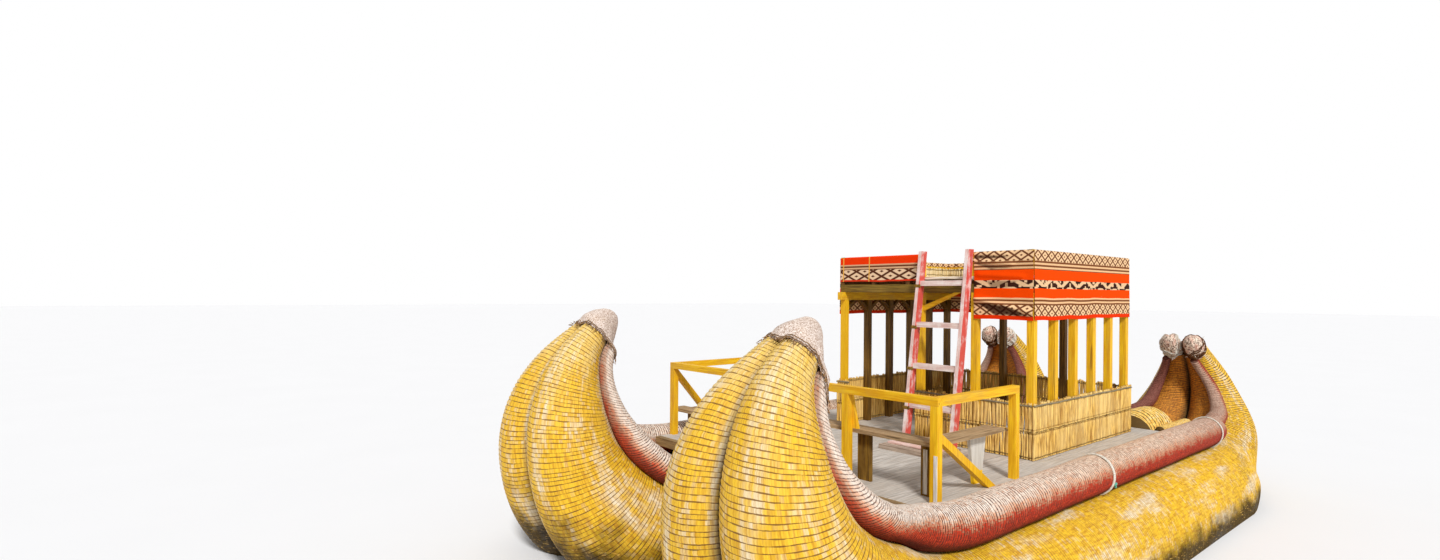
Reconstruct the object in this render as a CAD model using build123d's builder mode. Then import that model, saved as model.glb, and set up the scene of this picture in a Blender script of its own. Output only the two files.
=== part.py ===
from build123d import *
from math import acos, asin, atan2, cos, pi, radians, sin, sqrt
import os

os.makedirs("parts", exist_ok=True)

# Twin-hulled reed boat. Z is up from the waterline, Y runs to the stern and X to port.
# All sizes are in millimetres.

# Hulls: each is two reed bundles side by side, with a gunwale roll seated in each bundle
hull_x = 1426            # centre plane of a hull from the boat's centre plane
spine_z = 146            # height of the bundles' centres along the straight bottom
bow_y = -2611            # where the bottom starts to curve up to the bow
stern_y = 3038           # where it starts to curve up to the stern
roll_seat = 0.90         # distance of a roll's centre from its bundle, in radii of the roll
keel_gap = 0.5           # half the gap between the bundles of one hull
ease = 2                 # clearance of round pieces that lie in a groove or on a bundle

# Each end is three arcs in a row. Columns: radius, turn in degrees where the arc ends
bow_bend = [(3867, 13.5), (1315, 62), (1105, 180)]
stern_bend = [(2671, 12.3), (1269, 53.3), (931, 180)]
# Turns of the sections along each end
bow_turns = (0, 6.5, 13.5, 24, 36, 49, 62, 77, 92, 108, 124, 140)
stern_turns = (0, 6, 12.3, 23, 35, 48, 61, 76, 92, 108, 123, 138)

# Shape of one hull along an end. Columns: turn of the spine in degrees,
# bundle radius, bundle offset, roll radius, outer roll offset, inner roll offset
bow_shape = [
    (0, 629, 499, 187, 581, 1070),
    (34, 643, 437, 146, 538, 947),
    (67, 478, 359, 148, 515, 708),
    (100, 344, 262, 120, 333, 432),
    (140, 156, 84, 72, 176, 208),
]
stern_shape = [
    (0, 629, 499, 187, 581, 1070),
    (34, 500, 400, 143, 462, 687),
    (67, 415, 376, 113, 475, 469),
    (100, 274, 252, 82, 360, 372),
    (138, 158, 112, 54, 150, 214),
]

# Fillings of the trough between the two bundles of a hull. Columns: Y, radius
heart_sections = [(-3085, 45), (-3060, 90), (-3000, 127), (-2611, 160), (2090, 160)]
stern_fill_sections = [(2115, 276), (2400, 300), (2800, 298), (3000, 258), (3130, 186), (3200, 95)]
side_fill_x = 350
side_fill_lift = 882     # height of the small filling over the spine, between the large one and the roll
side_fill_sections = [(2115, 57), (3050, 56), (3130, 44), (3165, 22)]

# Cloth caps on the bow tips and lashed knobs on the stern tips.
# Columns: turn, half width, half height, lift
cap_sections = [
    (140, 262, 228, 56),
    (144, 256, 223, 54),
    (149, 236, 206, 48),
    (154, 182, 166, 42),
    (157, 120, 110, 38),
    (159, 55, 52, 36),
]
knob_sections = [
    (138, 110, 134, 46),
    (143, 131, 150, 46),
    (149, 134, 150, 44),
    (154, 112, 124, 40),
    (158, 70, 78, 36),
    (160, 32, 36, 34),
]
knob_x = 142

# Deck: cross poles laid on the trough fillings, planks on them and a beam along the front edge
plank_thick = 30
plank_count = 24
plank_gap = 4
deck_front = -2950
deck_back = 2100
deck_half = 1827
pole_radius = 40.4
pole_count = 9
pole_inset = 90
front_beam_width = 70
front_beam_bottom = 935
front_beam_half = 1808

# Cabin frame
post = 75
cabin_port = 1500
cabin_star = -960
cabin_front = -660
cabin_back = 1710
side_post_count = 6
front_post_x = (877, 187)
back_post_x = (766, -70)
plate_bottom = 2635
plate_height = 100
plate_end = 60           # how far the starboard plate runs out at the front
beam_height = 95
beam_count = 5
batten_height = 55
batten_width = 55
batten_count = 6
floor_thick = 27
board_count = 13
board_gap = 3
sill_x = (222, 830)
sill_reach = 40
knee_drop = 140
knee_reach = 175
knee_depth = 48
knee_thick = 50
bay_brace = ((225, 2520), (690, 2735))
bay_brace_depth = 62
bay_brace_thick = 40

# Low walls of reed matting round the cabin. The entrance is in the front wall.
mat_top = 1612
mat_thick = 36
entrance_x = (-830, 140)

# Parapet of the upper deck, and the cloths hung over its rails
parapet_top = 3175
parapet_rail = 80
parapet_mat_thick = 20
side_stanchion_count = 4
cloth_thick = 14
cloth_long = 2452        # lower edge of a long cloth
cloth_short = 2868       # lower edge of the short cloth over the entrance
cloth_gap_x = (165, 880)

# Ladder, leaning on the sill of the upper deck
ladder_x = (262, 848)
ladder_rail_depth = 105
ladder_rail_thick = 42
ladder_lean = 0.1445     # run towards the stern for each unit of height
ladder_top = 3205
rung_heights = (1471, 1908, 2371, 2838)
rung_height = 58
rung_depth = 85
foot_board_x = (200, 905)
foot_board_y = (-1465, -990)
foot_board_thick = 48

# Front railing
rail_port = 1755
rail_star = -1790
rail_front = -2770
rail_back = -1515
rail_top = 1882
rail_height = 70
rail_width = 70
rail_post_x = (842, -470)
brace_width = 62
# Braces in the side rails. Columns: X, top at the corner post, foot on the deck
side_braces = [(rail_port, 1590, -1885), (rail_star, 1800, -2035)]
short_brace = ((830, 1812), (905, 1500))
short_brace_width = 60
short_brace_thick = 30

# Benches inside the railing
bench_thick = 36
bench_width = 190
bench_back = -1620
# Planks of the front bench. Columns: first X, last X, top
front_benches = [(-210, 1720, 1500), (-1890, -260, 1335)]
# Legs of the front bench. Columns: X, top of the bench
front_legs = [(945, 1500), (1610, 1500), (-60, 1500), (-480, 1335), (-1600, 1335)]
leg_width = 145
leg_thick = 30
# Side benches. Columns: side of the boat, top
side_benches = {"port": 1500, "starboard": 1335}
side_leg_y = -1935
side_leg_top = 280
side_leg_foot = 120

heart_radius = heart_sections[-1][1]
heart_lift = sqrt((bow_shape[0][1] + heart_radius + ease) ** 2 - bow_shape[0][2] ** 2)
heart_top = spine_z + heart_lift + heart_radius
plank_bottom = heart_top + 2 * pole_radius
deck_top = plank_bottom + plank_thick
beam_bottom = plate_bottom + plate_height
batten_bottom = beam_bottom + beam_height
floor_bottom = batten_bottom + batten_height
floor_top = floor_bottom + floor_thick
parapet_bottom = parapet_top - parapet_rail
pole_z = heart_top + pole_radius
pole_half = deck_half - pole_inset / 2
hull_sides = {"port": 1, "starboard": -1}
roll_arcs = 6
roll_step = 2 * pi / roll_arcs


# Construction helpers
def spine_point(bend, start, way, turn):
    """Point (y, z) of the spine after a turn, and the direction to the inside of the bend."""
    y, z, first = start, spine_z, 0
    for radius, change in bend:
        last = radians(min(turn, change))
        y += way * radius * (sin(last) - sin(first))
        z += radius * (cos(first) - cos(last))
        first = last
    return y, z, -way * sin(radians(turn)), cos(radians(turn))


def section_plane(bend, start, way, turn, x=0, lift=0):
    """Plane across a hull at a turn of the spine. Its own +Y points to the inside of the bend."""
    y, z, in_y, in_z = spine_point(bend, start, way, turn)
    origin = (x, y + lift * in_y, z + lift * in_z)
    return Plane(origin=origin, x_dir=(1, 0, 0), z_dir=(0, -in_z, in_y))


def shape_at(shape, turn):
    """Row of a shape table at any turn, on a smooth curve through the table's rows."""
    after = next(i for i in range(1, len(shape)) if shape[i][0] >= turn - 0.001)
    rows = [shape[max(after - 2, 0)], shape[after - 1], shape[after], shape[min(after + 1, len(shape) - 1)]]
    t = (turn - rows[1][0]) / (rows[2][0] - rows[1][0])
    values = []
    for p0, p1, p2, p3 in zip(*rows):
        slope = p2 - p0 + t * (2 * p0 - 5 * p1 + 4 * p2 - p3 + t * (3 * p1 - p0 - 3 * p2 + p3))
        values.append(p1 + 0.5 * t * slope)
    return values


def hull_sections():
    """Section planes and shape rows of a hull, from the bow's tip to the stern's tip."""
    sections = []
    for turn in reversed(bow_turns):
        sections.append((section_plane(bow_bend, bow_y, -1, turn), shape_at(bow_shape, turn)))
    for turn in stern_turns:
        sections.append((section_plane(stern_bend, stern_y, 1, turn), shape_at(stern_shape, turn)))
    return sections


def on_circle(centre, radius, angle):
    """Point of a circle at an angle from its top, turning outboard."""
    return (centre[0] + radius * sin(angle), centre[1] + radius * cos(angle))


def circle_arc(centre, radius, first, last):
    """Arc of a circle between two angles from its top."""
    points = [on_circle(centre, radius, first + (last - first) * part) for part in (0, 0.5, 1)]
    ThreePointArc(*points)


def seat(row, inner):
    """Circles of a bundle and its roll, and the angles where they meet, seen from each centre."""
    _, bundle_radius, bundle_x, roll_radius, outer_x, inner_x = row
    across = (inner_x if inner else outer_x) - bundle_x
    apart = bundle_radius + roll_seat * roll_radius
    lean = asin(across / apart)
    roll = (bundle_x + across, sqrt(apart**2 - across**2))
    bundle_half = acos((bundle_radius**2 + apart**2 - roll_radius**2) / (2 * bundle_radius * apart))
    roll_half = acos((roll_radius**2 + apart**2 - bundle_radius**2) / (2 * roll_radius * apart))
    return (bundle_x, 0), bundle_radius, bundle_half, roll, roll_radius, roll_half, lean


def bundle_solid(inner):
    """Round bundle, flat where it meets its neighbour and grooved under its gunwale roll."""
    with BuildPart() as bundle:
        for plane, row in hull_sections():
            centre, radius, half, roll, roll_radius, roll_half, lean = seat(row, inner)
            flat = asin((centre[0] - keel_gap) / radius)
            with BuildSketch(plane):
                with BuildLine():
                    circle_arc(centre, radius, pi + flat, lean + half)
                    circle_arc(roll, roll_radius, lean + pi - roll_half, lean + pi + roll_half)
                    circle_arc(centre, radius, lean - half, -flat)
                    Line(on_circle(centre, radius, -flat), on_circle(centre, radius, pi + flat))
                make_face()
        loft(ruled=True)
    return bundle.part


def roll_solid(inner):
    """Gunwale roll that fills the groove of its bundle."""
    with BuildPart() as gunwale:
        for plane, row in hull_sections():
            roll, roll_radius = seat(row, inner)[3:5]
            with BuildSketch(plane):
                with BuildLine():
                    for arc in range(roll_arcs):
                        circle_arc(roll, roll_radius - ease, arc * roll_step, (arc + 1) * roll_step)
                make_face()
        loft(ruled=True)
    return gunwale.part


def fill_solid(rows, x, lift=None):
    """Round filling that lies along the trough, at a given lift or resting on the nearest bundle."""
    with BuildPart() as fill:
        for y, radius in rows:
            reach = bow_shape[0][1] + radius + ease
            height = spine_z + (lift or sqrt(reach**2 - (bow_shape[0][2] - x) ** 2))
            with BuildSketch(Plane(origin=(x, y, height), x_dir=(1, 0, 0), z_dir=(0, 1, 0))):
                Circle(radius)
        loft(ruled=True)
    return fill.part


def tip_solid(rows, bend, start, way, x):
    """Rounded cap or knob on the end of a hull."""
    with BuildPart() as tip:
        for turn, half_width, half_height, lift in rows:
            with BuildSketch(section_plane(bend, start, way, turn, x, lift)):
                Ellipse(half_width, half_height)
        loft(ruled=True)
    return tip.part


def block(x0, x1, y0, y1, z0, z1):
    """Squared timber or panel between two corners."""
    with Locations(((x0 + x1) / 2, (y0 + y1) / 2, (z0 + z1) / 2)):
        Box(x1 - x0, y1 - y0, z1 - z0)


def upright(x, y, z0, z1, size=post):
    """Square post."""
    block(x - size / 2, x + size / 2, y - size / 2, y + size / 2, z0, z1)


def lengthwise_plate(x, thick, points):
    """Flat piece across X, from the (Y, Z) corners of its outline."""
    with BuildSketch(Plane.YZ.offset(x)) as outline:
        with BuildLine():
            Polyline(*points, close=True)
        make_face()
    extrude(outline.sketch, amount=thick / 2, both=True)


def crosswise_plate(y, thick, points):
    """Flat piece across Y, from the (X, Z) corners of its outline."""
    with BuildSketch(Plane.XZ.offset(-y)) as outline:
        with BuildLine():
            Polyline(*points, close=True)
        make_face()
    extrude(outline.sketch, amount=thick / 2, both=True)


def spread(first, last, count):
    """Evenly spaced values from the first to the last."""
    return [first + (last - first) * step / (count - 1) for step in range(count)]


def save(piece, name):
    """Label a finished node and write it."""
    piece.part.label = name
    export_step(piece.part, f"parts/{name}.step")


def on_hull(solid, side, inner):
    """A solid of the port hull's outer side, moved to a hull and to its outer or inner side."""
    flipped = (side < 0) != inner
    shape = mirror(solid, about=Plane.YZ) if flipped else solid
    return Pos(side * hull_x, 0, 0) * shape


# Hulls: bundles, gunwale rolls, fillings of the trough and what closes the tips
cap = tip_solid(cap_sections, bow_bend, bow_y, -1, 0)
knob = tip_solid(knob_sections, stern_bend, stern_y, 1, knob_x)
fills = {
    "heart_bundle": fill_solid(heart_sections, 0, heart_lift),
    "stern_fill": fill_solid(stern_fill_sections, 0),
    "side_fill": fill_solid(side_fill_sections, side_fill_x, side_fill_lift),
}
for roll_side, inner in (("outer", False), ("inner", True)):
    forms = {"bundle": bundle_solid(inner), "gunwale_roll": roll_solid(inner)}
    for hull_name, side in hull_sides.items():
        for form_name, form in forms.items():
            placed = on_hull(form, side, inner)
            with BuildPart() as hull_piece:
                add(placed)
            save(hull_piece, f"{form_name}_{hull_name}_{roll_side}")
for hull_name, side in hull_sides.items():
    placed = on_hull(cap, side, False)
    with BuildPart() as bow_cap:
        add(placed)
    save(bow_cap, f"bow_cap_{hull_name}")
    placed = [on_hull(knob, side, inner) for inner in (False, True)]
    with BuildPart() as stern_knobs:
        add(placed)
    save(stern_knobs, f"stern_knobs_{hull_name}")
    for fill_name, fill in fills.items():
        placed = on_hull(fill, side, False)
        with BuildPart() as trough_fill:
            add(placed)
        save(trough_fill, f"{fill_name}_{hull_name}")

# Cross poles under the planks
with BuildPart() as cross_poles:
    for pole_y in spread(deck_front + pole_inset, deck_back - pole_inset, pole_count):
        with BuildSketch(Plane(origin=(-pole_half, pole_y, pole_z), x_dir=(0, 1, 0), z_dir=(1, 0, 0))):
            Circle(pole_radius)
        extrude(amount=2 * pole_half)
save(cross_poles, "cross_poles")

# Deck planks, laid lengthwise, and the beam along their front ends
with BuildPart() as deck_planks:
    plank_pitch = 2 * deck_half / plank_count
    with Locations((0, (deck_front + deck_back) / 2, plank_bottom + plank_thick / 2)):
        with GridLocations(plank_pitch, 1, plank_count, 1):
            Box(plank_pitch - plank_gap, deck_back - deck_front, plank_thick)
save(deck_planks, "deck_planks")
with BuildPart() as deck_front_beam:
    front_beam_y = (deck_front - front_beam_width, deck_front)
    block(-front_beam_half, front_beam_half, *front_beam_y, front_beam_bottom, deck_top)
save(deck_front_beam, "deck_front_beam")

# Front railing
half_rail = rail_width / 2
rail_bottom = rail_top - rail_height
with BuildPart() as rail_posts:
    for x in (rail_port, *rail_post_x, rail_star):
        upright(x, rail_front, deck_top, rail_bottom, rail_width)
    for x in (rail_port, rail_star):
        upright(x, rail_back, deck_top, rail_bottom, rail_width)
save(rail_posts, "rail_posts")
front_rail_y = (rail_front - half_rail, rail_front + half_rail)
with BuildPart() as rail_top_front:
    block(rail_star - half_rail, rail_port + half_rail, *front_rail_y, rail_bottom, rail_top)
save(rail_top_front, "rail_top_front")
for rail_name, x in (("port", rail_port), ("starboard", rail_star)):
    with BuildPart() as rail_top_side:
        block(x - half_rail, x + half_rail, front_rail_y[1], rail_back + half_rail, rail_bottom, rail_top)
    save(rail_top_side, f"rail_top_{rail_name}")

# Braces of the railing, cut to the post they lean on and to the deck
with BuildPart() as rail_braces:
    for x, brace_top, foot_y in side_braces:
        slope = atan2(brace_top - deck_top, foot_y - front_rail_y[1])
        upper_end = [(front_rail_y[1], brace_top - brace_width / cos(slope)), (front_rail_y[1], brace_top)]
        lower_end = [(foot_y, deck_top), (foot_y - brace_width / sin(slope), deck_top)]
        lengthwise_plate(x, brace_width, upper_end + lower_end)
    (x0, z0), (x1, z1) = short_brace
    half_brace = short_brace_width / 2
    outline = [(x0 - half_brace, z0), (x0 + half_brace, z0), (x1 + half_brace, z1), (x1 - half_brace, z1)]
    crosswise_plate(front_rail_y[1] + short_brace_thick / 2, short_brace_thick, outline)
save(rail_braces, "rail_braces")

# Benches inside the railing, on legs cut from boards
bench_front_y = (front_rail_y[1], front_rail_y[1] + bench_width)
with BuildPart() as bench_front:
    for x0, x1, top in front_benches:
        block(x0, x1, *bench_front_y, top - bench_thick, top)
save(bench_front, "bench_front")
bench_inset = half_rail + bench_width / 2
bench_side_x = {"port": rail_port - bench_inset, "starboard": rail_star + bench_inset}
for bench_name, top in side_benches.items():
    x = bench_side_x[bench_name]
    with BuildPart() as bench_side:
        block(x - bench_width / 2, x + bench_width / 2, bench_front_y[1], bench_back, top - bench_thick, top)
    save(bench_side, f"bench_{bench_name}")
with BuildPart() as bench_legs:
    leg_y = sum(bench_front_y) / 2
    for x, top in front_legs:
        leg_x = (x - leg_width / 2, x + leg_width / 2)
        block(*leg_x, leg_y - leg_thick / 2, leg_y + leg_thick / 2, deck_top, top - bench_thick)
    for bench_name, top in side_benches.items():
        leg_top = top - bench_thick
        head = [(side_leg_y - side_leg_top / 2, leg_top), (side_leg_y + side_leg_top / 2, leg_top)]
        foot = [(side_leg_y + side_leg_foot / 2, deck_top), (side_leg_y - side_leg_foot / 2, deck_top)]
        lengthwise_plate(bench_side_x[bench_name], leg_thick, head + foot)
save(bench_legs, "bench_legs")

# Cabin frame: posts, side plates, cross beams, and battens and boards of the upper deck
half_post = post / 2
post_ys = spread(cabin_front, cabin_back, side_post_count)
for wall_name, x in (("port", cabin_port), ("starboard", cabin_star)):
    with BuildPart() as side_posts:
        for y in post_ys:
            upright(x, y, deck_top, plate_bottom)
    save(side_posts, f"cabin_posts_{wall_name}")
for wall_name, y, xs in (("front", cabin_front, front_post_x), ("back", cabin_back, back_post_x)):
    with BuildPart() as end_posts:
        for x in xs:
            upright(x, y, deck_top, beam_bottom)
    save(end_posts, f"cabin_posts_{wall_name}")
cabin_x = (cabin_star - half_post, cabin_port + half_post)
cabin_y = (cabin_front - half_post, cabin_back + half_post)
with BuildPart() as side_plates:
    block(cabin_port - half_post, cabin_port + half_post, *cabin_y, plate_bottom, beam_bottom)
    plate_front = cabin_y[0] - plate_end
    block(cabin_star - half_post, cabin_star + half_post, plate_front, cabin_y[1], plate_bottom, beam_bottom)
save(side_plates, "side_plates")
with BuildPart() as cross_beams:
    for y in spread(cabin_front, cabin_back, beam_count):
        block(*cabin_x, y - half_post, y + half_post, beam_bottom, batten_bottom)
save(cross_beams, "cross_beams")
with BuildPart() as floor_battens:
    half_batten = batten_width / 2
    for x in spread(cabin_x[0] + half_batten, cabin_x[1] - half_batten, batten_count):
        block(x - half_batten, x + half_batten, *cabin_y, batten_bottom, floor_bottom)
save(floor_battens, "floor_battens")
with BuildPart() as floor_boards:
    board_pitch = (cabin_y[1] - cabin_y[0] + board_gap) / board_count
    for step in range(board_count):
        board_front = cabin_y[0] + step * board_pitch
        block(*cabin_x, board_front, board_front + board_pitch - board_gap, floor_bottom, floor_top)
save(floor_boards, "floor_boards")
with BuildPart() as ladder_sill:
    block(*sill_x, cabin_y[0] - sill_reach, cabin_y[0], floor_bottom, floor_top)
save(ladder_sill, "ladder_sill")

# Knees between the posts and the plates, and the brace over the ladder's bay
for wall_name, x in (("port", cabin_port), ("starboard", cabin_star)):
    with BuildPart() as knees:
        for y in post_ys:
            for way in (-1, 1):
                face_y = y + way * half_post
                if cabin_y[0] < face_y + way * knee_reach < cabin_y[1]:
                    knee_foot = plate_bottom - knee_drop
                    low = [(face_y, knee_foot), (face_y, knee_foot + knee_depth)]
                    far_y = face_y + way * knee_reach
                    high = [(far_y - way * knee_depth, plate_bottom), (far_y, plate_bottom)]
                    lengthwise_plate(x, knee_thick, low + high)
    save(knees, f"knee_braces_{wall_name}")
with BuildPart() as entrance_brace:
    (x0, z0), (x1, z1) = bay_brace
    outline = [(x0, z0), (x0, z0 + bay_brace_depth), (x1 - bay_brace_depth, z1), (x1, z1)]
    crosswise_plate(cabin_front, bay_brace_thick, outline)
save(entrance_brace, "entrance_brace")

# Parapet: stanchions, rails and a low mat inside them
sides = (("port", cabin_port, 1), ("starboard", cabin_star, -1))
end_stanchions = [(x, cabin_front) for x in front_post_x] + [(x, cabin_back) for x in back_post_x]
with BuildPart() as parapet_posts:
    for x in (cabin_port, cabin_star):
        for y in spread(cabin_front, cabin_back, side_stanchion_count):
            upright(x, y, floor_top, parapet_bottom)
    for x, y in end_stanchions:
        upright(x, y, floor_top, parapet_bottom)
save(parapet_posts, "parapet_posts")
inside_x = (cabin_star + half_post, cabin_port - half_post)
front_rails = [(inside_x[0], front_post_x[1] + half_post), (front_post_x[0] - half_post, inside_x[1])]
with BuildPart() as parapet_sides:
    for x in (cabin_port, cabin_star):
        block(x - half_post, x + half_post, *cabin_y, parapet_bottom, parapet_top)
save(parapet_sides, "parapet_rail_sides")
with BuildPart() as parapet_ends:
    for x0, x1 in front_rails:
        block(x0, x1, cabin_y[0], cabin_y[0] + post, parapet_bottom, parapet_top)
    block(*inside_x, cabin_y[1] - post, cabin_y[1], parapet_bottom, parapet_top)
save(parapet_ends, "parapet_rail_ends")

# Low mat inside the parapet, standing on the floor boards
mat_inside = (inside_x[0] + parapet_mat_thick, inside_x[1] - parapet_mat_thick)
mat_front_y = (cabin_y[0] + post, cabin_y[0] + post + parapet_mat_thick)
mat_back_y = (cabin_y[1] - post - parapet_mat_thick, cabin_y[1] - post)
with BuildPart() as parapet_mat_sides:
    for x0, x1 in ((mat_inside[1], inside_x[1]), (inside_x[0], mat_inside[0])):
        block(x0, x1, mat_front_y[0], mat_back_y[1], floor_top, parapet_bottom)
save(parapet_mat_sides, "parapet_mat_sides")
with BuildPart() as parapet_mat_ends:
    block(*mat_inside, *mat_back_y, floor_top, parapet_bottom)
    block(mat_inside[0], front_rails[0][1], *mat_front_y, floor_top, parapet_bottom)
    block(front_rails[1][0], mat_inside[1], *mat_front_y, floor_top, parapet_bottom)
save(parapet_mat_ends, "parapet_mat_ends")

# Cloths, each hanging outside the posts with its upper edge folded over a parapet rail
cloth_top = parapet_top + cloth_thick
for cloth_name, x, way in (("port", cabin_x[1], 1), ("starboard", cabin_x[0], -1)):
    outer_x = x + way * cloth_thick
    cloth_y = (cabin_y[0] - cloth_thick, cabin_y[1] + cloth_thick)
    with BuildPart() as side_cloth:
        block(*sorted((x, outer_x)), *cloth_y, cloth_long, cloth_top)
        block(*sorted((x, x - way * post)), *cabin_y, parapet_top, cloth_top)
    save(side_cloth, f"cloth_{cloth_name}")
# Columns: name, first X, last X, first X of the fold, last X of the fold, lower edge
front_cloths = [
    ("front_port", cloth_gap_x[1], cabin_x[1], cloth_gap_x[1], inside_x[1], cloth_long),
    ("front_starboard", cabin_x[0], cloth_gap_x[0], inside_x[0], cloth_gap_x[0], cloth_short),
]
for cloth_name, x0, x1, fold_x0, fold_x1, bottom in front_cloths:
    with BuildPart() as front_cloth:
        block(x0, x1, cabin_y[0] - cloth_thick, cabin_y[0], bottom, cloth_top)
        block(fold_x0, fold_x1, cabin_y[0] - cloth_thick, cabin_y[0] + post, parapet_top, cloth_top)
    save(front_cloth, f"cloth_{cloth_name}")
with BuildPart() as back_cloth:
    block(*cabin_x, cabin_y[1], cabin_y[1] + cloth_thick, cloth_long, cloth_top)
    block(*inside_x, cabin_y[1] - post, cabin_y[1] + cloth_thick, parapet_top, cloth_top)
save(back_cloth, "cloth_back")

# Low walls of reed matting outside the posts
wall_y = (cabin_y[0] - mat_thick, cabin_y[1] + mat_thick)
for wall_name, wall_x in (("port", cabin_x[1]), ("starboard", cabin_x[0] - mat_thick)):
    with BuildPart() as side_wall:
        block(wall_x, wall_x + mat_thick, *wall_y, deck_top, mat_top)
    save(side_wall, f"reed_wall_{wall_name}")
with BuildPart() as front_wall:
    for x0, x1 in ((entrance_x[1], cabin_x[1]), (cabin_x[0], entrance_x[0])):
        block(x0, x1, wall_y[0], cabin_y[0], deck_top, mat_top)
save(front_wall, "reed_wall_front")
with BuildPart() as back_wall:
    block(*cabin_x, cabin_y[1], wall_y[1], deck_top, mat_top)
save(back_wall, "reed_wall_back")

# Ladder: it stands on a board on the deck and leans on the sill of the upper deck
ladder_foot_z = deck_top + foot_board_thick
sill_front = cabin_y[0] - sill_reach


def ladder_back(z):
    """Y of the back edge of the ladder's rails at a height."""
    return sill_front + ladder_lean * (z - floor_top)


with BuildPart() as ladder_rails:
    for x in ladder_x:
        foot_back, top_back = ladder_back(ladder_foot_z), ladder_back(ladder_top)
        foot = [(foot_back - ladder_rail_depth, ladder_foot_z), (foot_back, ladder_foot_z)]
        head = [(top_back, ladder_top), (top_back - ladder_rail_depth, ladder_top)]
        lengthwise_plate(x, ladder_rail_thick, foot + head)
save(ladder_rails, "ladder_rails")
with BuildPart() as ladder_rungs:
    rung_x = (ladder_x[0] + ladder_rail_thick / 2, ladder_x[1] - ladder_rail_thick / 2)
    for z in rung_heights:
        rung_back = ladder_back(z)
        block(*rung_x, rung_back - rung_depth, rung_back, z - rung_height / 2, z + rung_height / 2)
save(ladder_rungs, "ladder_rungs")
with BuildPart() as foot_board:
    block(*foot_board_x, *foot_board_y, deck_top, ladder_foot_z)
save(foot_board, "foot_board")
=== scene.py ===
import math
import bpy
import numpy as np
from mathutils import Matrix, Vector


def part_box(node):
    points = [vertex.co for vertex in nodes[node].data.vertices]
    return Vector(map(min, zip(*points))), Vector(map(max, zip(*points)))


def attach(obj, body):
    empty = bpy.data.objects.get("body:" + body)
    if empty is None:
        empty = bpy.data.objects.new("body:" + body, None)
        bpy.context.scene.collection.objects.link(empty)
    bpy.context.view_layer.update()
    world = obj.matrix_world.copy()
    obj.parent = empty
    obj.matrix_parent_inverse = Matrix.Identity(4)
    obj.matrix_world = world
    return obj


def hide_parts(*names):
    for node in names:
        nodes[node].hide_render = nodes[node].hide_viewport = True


# Twin-hulled reed boat. Metres; Z is up from the waterline, Y runs to the stern, X to port.
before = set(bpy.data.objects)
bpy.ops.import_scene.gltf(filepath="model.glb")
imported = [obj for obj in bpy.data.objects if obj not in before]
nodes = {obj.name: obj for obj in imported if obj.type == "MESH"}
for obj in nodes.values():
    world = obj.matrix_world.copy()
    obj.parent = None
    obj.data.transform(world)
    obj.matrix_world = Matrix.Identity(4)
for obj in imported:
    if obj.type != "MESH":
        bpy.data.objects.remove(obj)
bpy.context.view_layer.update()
print("frame loaded:", len(nodes), "nodes")


class Field:
    # output of a shader node, with ordinary arithmetic
    def __init__(self, socket):
        self.socket, self.tree = socket, socket.id_data

    def __add__(self, other):
        return calc("ADD", self, other)

    def __sub__(self, other):
        return calc("SUBTRACT", self, other)

    def __mul__(self, other):
        return calc("MULTIPLY", self, other)

    def __truediv__(self, other):
        return calc("DIVIDE", self, other)

    def __abs__(self):
        return calc("ABSOLUTE", self)

    def __gt__(self, other):
        return calc("GREATER_THAN", self, other)

    def __lt__(self, other):
        return calc("LESS_THAN", self, other)


def tint(code):  # hex colour to the linear values that a shader takes
    parts = [int(code[i:i + 2], 16) / 255 for i in (0, 2, 4)]
    return tuple(c / 12.92 if c <= 0.04045 else ((c + 0.055) / 1.055) ** 2.4 for c in parts) + (1.0,)


def feed(socket, value):
    if isinstance(value, Field):
        value.tree.links.new(value.socket, socket)
    else:
        socket.default_value = tint(value) if isinstance(value, str) else value


def put(kind, inputs, tree=None, **settings):
    # a new node, in the tree of its inputs where none is given
    tree = tree or next(value.tree for value in inputs.values() if isinstance(value, Field))
    node = tree.nodes.new("ShaderNode" + kind)
    for key, value in settings.items():
        setattr(node, key, value)
    for key, value in inputs.items():
        feed(node.inputs[key], value)
    return node


def calc(operation, first, second=0.0, clamp=False):
    return Field(put("Math", {0: first, 1: second}, operation=operation, use_clamp=clamp).outputs[0])


def remap(value, low, high, toLow=0.0, toHigh=1.0):  # eases from toLow at low to toHigh at high
    sockets = {"Value": value, "From Min": low, "From Max": high, "To Min": toLow, "To Max": toHigh}
    return Field(put("MapRange", sockets, interpolation_type="SMOOTHSTEP").outputs[0])


def blend(factor, first, second):
    return Field(put("Mix", {0: factor, 6: first, 7: second}, data_type="RGBA").outputs[2])


def coat(skin, *layers):  # layers over a skin: the share that shows and its colour
    for share, colour in layers:
        skin = blend(share, skin, colour)
    return skin


def stretch(vector, scale):
    return Field(put("VectorMath", {0: vector, 1: scale}, operation="MULTIPLY").outputs[0])


def noise(vector, scale, detail=3.0, rough=0.55):
    sockets = {"Vector": vector, "Scale": scale, "Detail": detail, "Roughness": rough}
    return Field(put("TexNoise", sockets).outputs[0])


def whiteNoise(x, y):
    return Field(put("TexWhiteNoise", {"Vector": joinVector(x, y)}, noise_dimensions="3D").outputs[0])


def splitVector(vector):
    return [Field(socket) for socket in put("SeparateXYZ", {0: vector}).outputs]


def joinVector(x, y):
    return Field(put("CombineXYZ", {0: x, 1: y}).outputs[0])


def readMark(tree, name, output="Fac"):
    return Field(put("Attribute", {}, tree, attribute_name=name).outputs[output])


def place(tree):  # position in the boat's own frame
    return Field(put("TexCoord", {}, tree).outputs["Object"])


def bump(height, strength, distance):
    return Field(put("Bump", {"Strength": strength, "Distance": distance, "Height": height}).outputs[0])


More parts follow.
